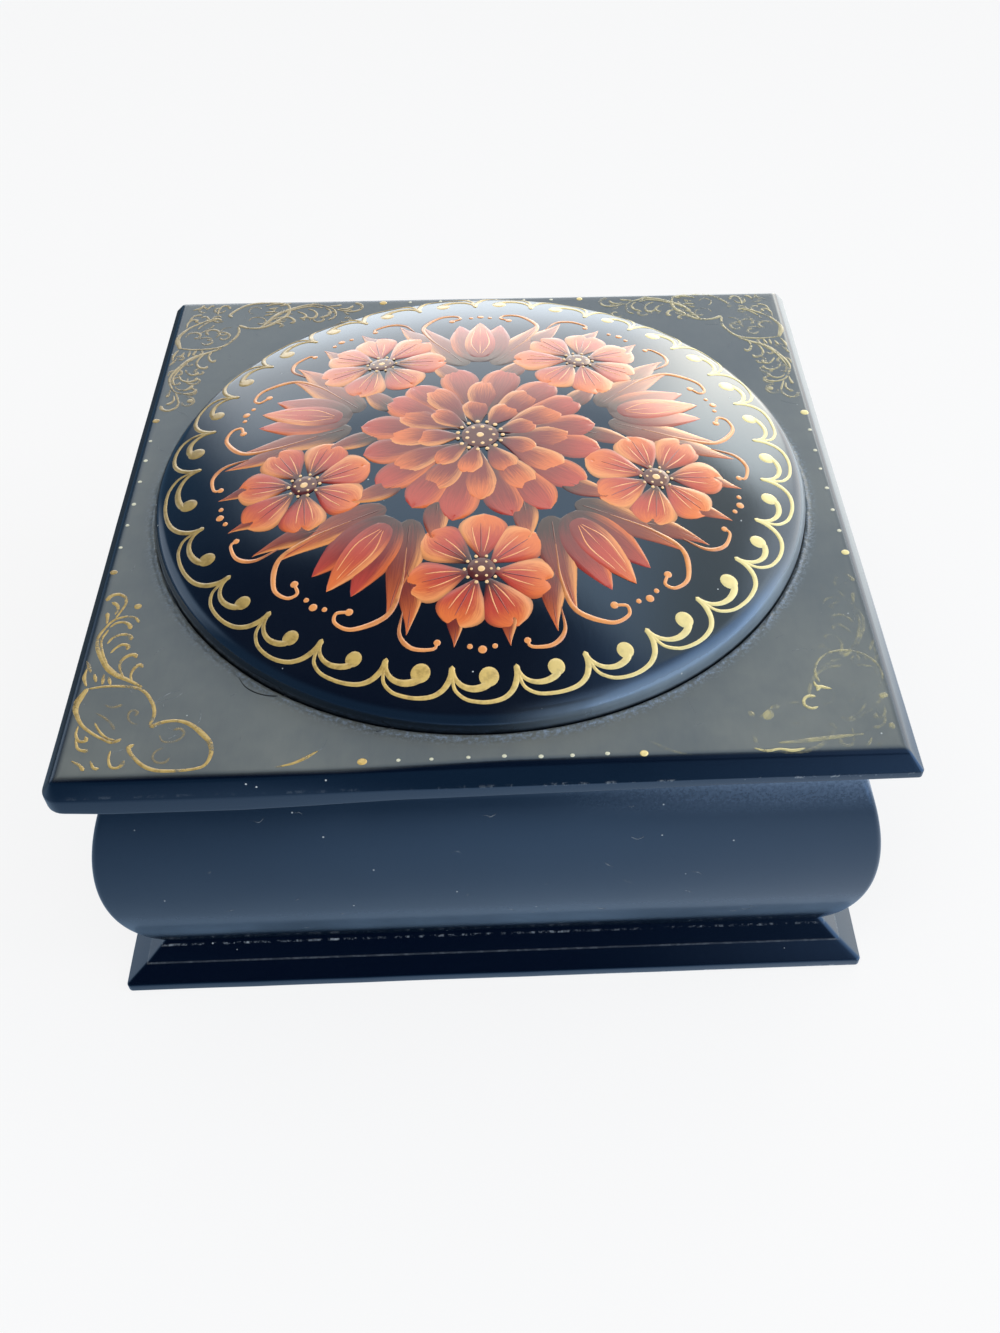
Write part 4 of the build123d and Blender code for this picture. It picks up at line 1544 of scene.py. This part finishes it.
class SetStage(bpy.types.Operator):
    """Pale floor, soft lamps and the camera"""

    bl_idname = "lacquer_box.stage"
    bl_label = "Stage"

    # The camera as solved from the square lid board
    photo_height = 1333.0
    focal_pixels = 1247.4
    centre_pixels = (52.94, 22.97)  # how far the lens axis is from the middle of the picture
    camera_place = (0.00362, -0.13498, 0.15594)
    turns = (48.576, 2.639, -0.306)  # down, left and clockwise, degrees

    white = (1.0, 1.0, 1.0)  # the paper and its background, as the camera sees them
    # Colours of the floor in mirror images
    bluish_paper = (0.61, 0.78, 0.98), (0.72, 0.84, 1.0)  # at the left and at the right
    far_paper = (0.10, 0.19, 0.30)
    shaded_paper = (0.05, 0.07, 0.09)
    lit_paper = (1.8, 1.85, 1.8)
    # Colours of the room in mirror images
    dim_sky = (0.010, 0.030, 0.085), (0.08, 0.17, 0.27)  # overhead and lower down
    right_sky = (0.60, 0.75, 1.0)
    left_light = (0.85, 0.92, 1.0)
    panel_light = (1.05, 1.08, 1.08), (1.38, 1.38, 1.34)  # below and above
    panel_foot = (1.9, 1.85, 1.75)
    panel_right = (1.00, 0.89, 0.72)
    horizon_light = (3.0, 3.1, 3.1)
    far_window_light = (5.2, 4.7, 3.9)
    window_light = (2.3, 2.95, 3.9), (2.7, 2.4, 2.1)  # at the front and at the back
    soft_light = (0.42, 0.43, 0.45)  # what the world lights dull surfaces with

    def execute(self, context):
        self.make_floor()
        self.make_lamps()
        self.make_world()
        self.make_camera()
        context.scene.view_settings.view_transform = "Standard"
        return {"FINISHED"}

    def make_floor(self):
        half = 3.0
        mesh = bpy.data.meshes.new("pale floor")
        corners = [(-half, -half, 0), (half, -half, 0), (half, half, 0), (-half, half, 0)]
        mesh.from_pydata(corners, [], [(0, 1, 2, 3)])
        floor = new_object("pale_floor", mesh)
        shader = Shader("pale floor")
        x, y, z = shader.axes(shader.add("ShaderNodeTexCoord", output="Object"))
        path = shader.add("ShaderNodeLightPath", output="Is Camera Ray")
        outputs = path.output.node.outputs
        glossy, through = (Socket(shader, outputs[f"Is {kind} Ray"]) for kind in ("Glossy", "Transmission"))
        # What the gloss mirrors of the floor: bluish paper near the box, shade further off, and light behind
        reach = (x * x + y * y) ** 0.5
        near = reach.step(0.38, 0.09) * (x.step(-0.08, 0.03) * 0.61 + 0.39)
        left_shade = x.step(-0.03, -0.09) * y.step(-0.03, 0.03) * 0.75
        near = near * (reach.step(0.05, 0.10) * 0.22 + 0.78) * (1.0 - left_shade)
        paper_mirrored = shader.mix(x.step(0.0, 0.07), *self.bluish_paper)
        mirrored = shader.mix(near, self.far_paper, paper_mirrored)
        far_left = x.step(-0.04, -0.10) * y.step(-0.05, 0.02) * reach.step(0.42, 0.22)
        mirrored = shader.mix(far_left, mirrored, self.shaded_paper)
        mirrored = shader.mix(y.step(0.02, 0.07) * x.step(-0.04, 0.04), mirrored, self.lit_paper)
        glow = shader.mix(path, mirrored, self.white)
        paper = shader.add("ShaderNodeBsdfDiffuse", values={"Color": (0.86, 0.87, 0.88)})
        light = shader.add("ShaderNodeEmission", values={"Color": glow, "Strength": 1.0})
        share = (path * 0.8).most(glossy.most(through))
        both = shader.add("ShaderNodeMixShader", values={0: share, 1: paper, 2: light})
        shader.add("ShaderNodeOutputMaterial", values={"Surface": both})
        mesh.materials.append(shader.owner)

    def lamp(self, name, place, size, radiance, colour=(1.0, 1.0, 1.0)):
        """A soft lamp that faces the box and lights it, while the world gives what the gloss mirrors."""
        light = bpy.data.lights.new(name, "AREA")
        light.shape = "RECTANGLE"
        light.size, light.size_y = size
        light.energy = radiance * math.pi * size[0] * size[1]
        light.color = colour
        lamp = new_object(name, light)
        lamp.location = place
        aim = Vector((0.0, 0.0, 0.04)) - Vector(place)
        lamp.rotation_euler = aim.to_track_quat("-Z", "Y").to_euler()
        lamp.visible_glossy = False

    def make_lamps(self):
        self.lamp("top lamp", (-0.10, -0.30, 0.75), (0.6, 0.6), 2.2)
        self.lamp("window lamp", (0.55, -0.05, 0.35), (0.40, 0.40), 1.75, (0.93, 0.97, 1.0))

    def make_world(self):
        """A soft panel behind the box, a pale horizon and a window at the right, which the lacquer mirrors"""
        world = bpy.data.worlds.new("studio")
        bpy.context.scene.world = world
        shader = Shader(world=world)
        # x, y and z say which way a ray goes: to the right, to the back and up
        x, y, z = shader.axes(shader.add("ShaderNodeTexCoord", output="Generated"))
        behind = y.step(-0.1, 0.3)
        panel_front = (x * 0.3 + y + x.step(0.10, 0.34) * 0.12).step(0.42, 0.56)
        panel = x.step(-0.50, -0.36) * x.step(0.85, 0.60) * panel_front
        horizon = abs(z).step(0.26, 0.04) * behind * x.step(-0.52, -0.26)
        far_window = x.step(0.15, 0.36) * y.step(0.3, 0.6) * (z - x * 0.3).step(0.45, 0.35)
        left_glow = x.step(-0.64, -0.76) * y.step(-0.06, 0.28) * z.step(0.64, 0.42) * y.step(0.72, 0.58)
        window_top = (z * 0.9 - y).step(0.2, 0.45) * z.step(0.1, 0.3)
        window = x.step(0.455, 0.53) * z.step(0.90, 0.68) * (1.0 - window_top * 0.6)
        sky = shader.mix(z.step(0.80, 0.40), *self.dim_sky)
        dark_front = y.step(-0.44, -0.58) * z.step(0.60, 0.70)
        sky = shader.mix(x.step(0.05, 0.50) * (1.0 - dark_front * 0.8), sky, self.right_sky)
        sky = shader.mix(left_glow, sky, self.left_light)
        screen = shader.mix(z.step(0.50, 0.78), *self.panel_light)
        screen = shader.mix(z.step(0.52, 0.40), screen, self.panel_foot)
        screen = shader.mix(x.step(0.20, 0.42) * z.step(0.45, 0.55), screen, self.panel_right)
        sky = shader.mix(panel, sky, screen)
        sky = shader.mix(horizon, sky, self.horizon_light)
        sky = shader.mix(far_window, sky, self.far_window_light)
        sky = shader.mix(window, sky, shader.mix(y.step(-0.1, 0.5), *self.window_light))
        path = shader.add("ShaderNodeLightPath", output="Is Camera Ray")
        diffuse = Socket(shader, path.output.node.outputs["Is Diffuse Ray"])
        sky = shader.mix(diffuse, sky, self.soft_light)
        sky = shader.mix(path, sky, self.white)
        background = shader.add("ShaderNodeBackground", values={"Color": sky, "Strength": 1.0})
        shader.add("ShaderNodeOutputWorld", values={"Surface": background})

    def make_camera(self):
        camera = bpy.data.cameras.new("camera")
        camera.sensor_width = 36.0
        camera.lens = self.focal_pixels / self.photo_height * camera.sensor_width
        camera.shift_x = -self.centre_pixels[0] / self.photo_height
        camera.shift_y = self.centre_pixels[1] / self.photo_height
        camera.clip_start, camera.clip_end = 0.01, 20.0
        holder = new_object("camera", camera)
        down, left, roll = (math.radians(turn) for turn in self.turns)
        upright = Matrix.Rotation(math.pi / 2 - down, 4, "X")
        turned = Matrix.Rotation(-left, 4, "Z") @ upright @ Matrix.Rotation(-roll, 4, "Z")
        holder.matrix_world = Matrix.Translation(Vector(self.camera_place)) @ turned
        bpy.context.scene.camera = holder


class LacquerBoxPanel(bpy.types.Panel):
    """Lists the pieces of the lacquer box and its settings"""

    bl_idname = "VIEW3D_PT_lacquer_box"
    bl_label = "Lacquer Box"
    bl_space_type = "VIEW_3D"
    bl_region_type = "UI"
    bl_category = "Lacquer Box"

    def draw(self, context):
        for name in LacquerBoxSettings.__annotations__:
            self.layout.prop(context.scene.lacquer_box, name)
        for operator in operators:
            self.layout.operator(operator.bl_idname)


operators = (
    BuildBase, BuildWalls, BuildLid, BuildDisc, PaintBorder, PaintCorners, PaintDots, PaintMedallion,
    AddMarks, FitHinges, SetStage,
)


def register():
    bpy.utils.register_class(LacquerBoxSettings)
    bpy.types.Scene.lacquer_box = PointerProperty(type=LacquerBoxSettings)
    for operator in operators:
        bpy.utils.register_class(operator)
    bpy.utils.register_class(LacquerBoxPanel)


def unregister():
    bpy.utils.unregister_class(LacquerBoxPanel)
    for operator in reversed(operators):
        bpy.utils.unregister_class(operator)
    del bpy.types.Scene.lacquer_box
    bpy.utils.unregister_class(LacquerBoxSettings)


def main():
    register()
    for operator in operators:
        getattr(bpy.ops.lacquer_box, operator.bl_idname.split(".")[1])()


if __name__ == "__main__":
    main()
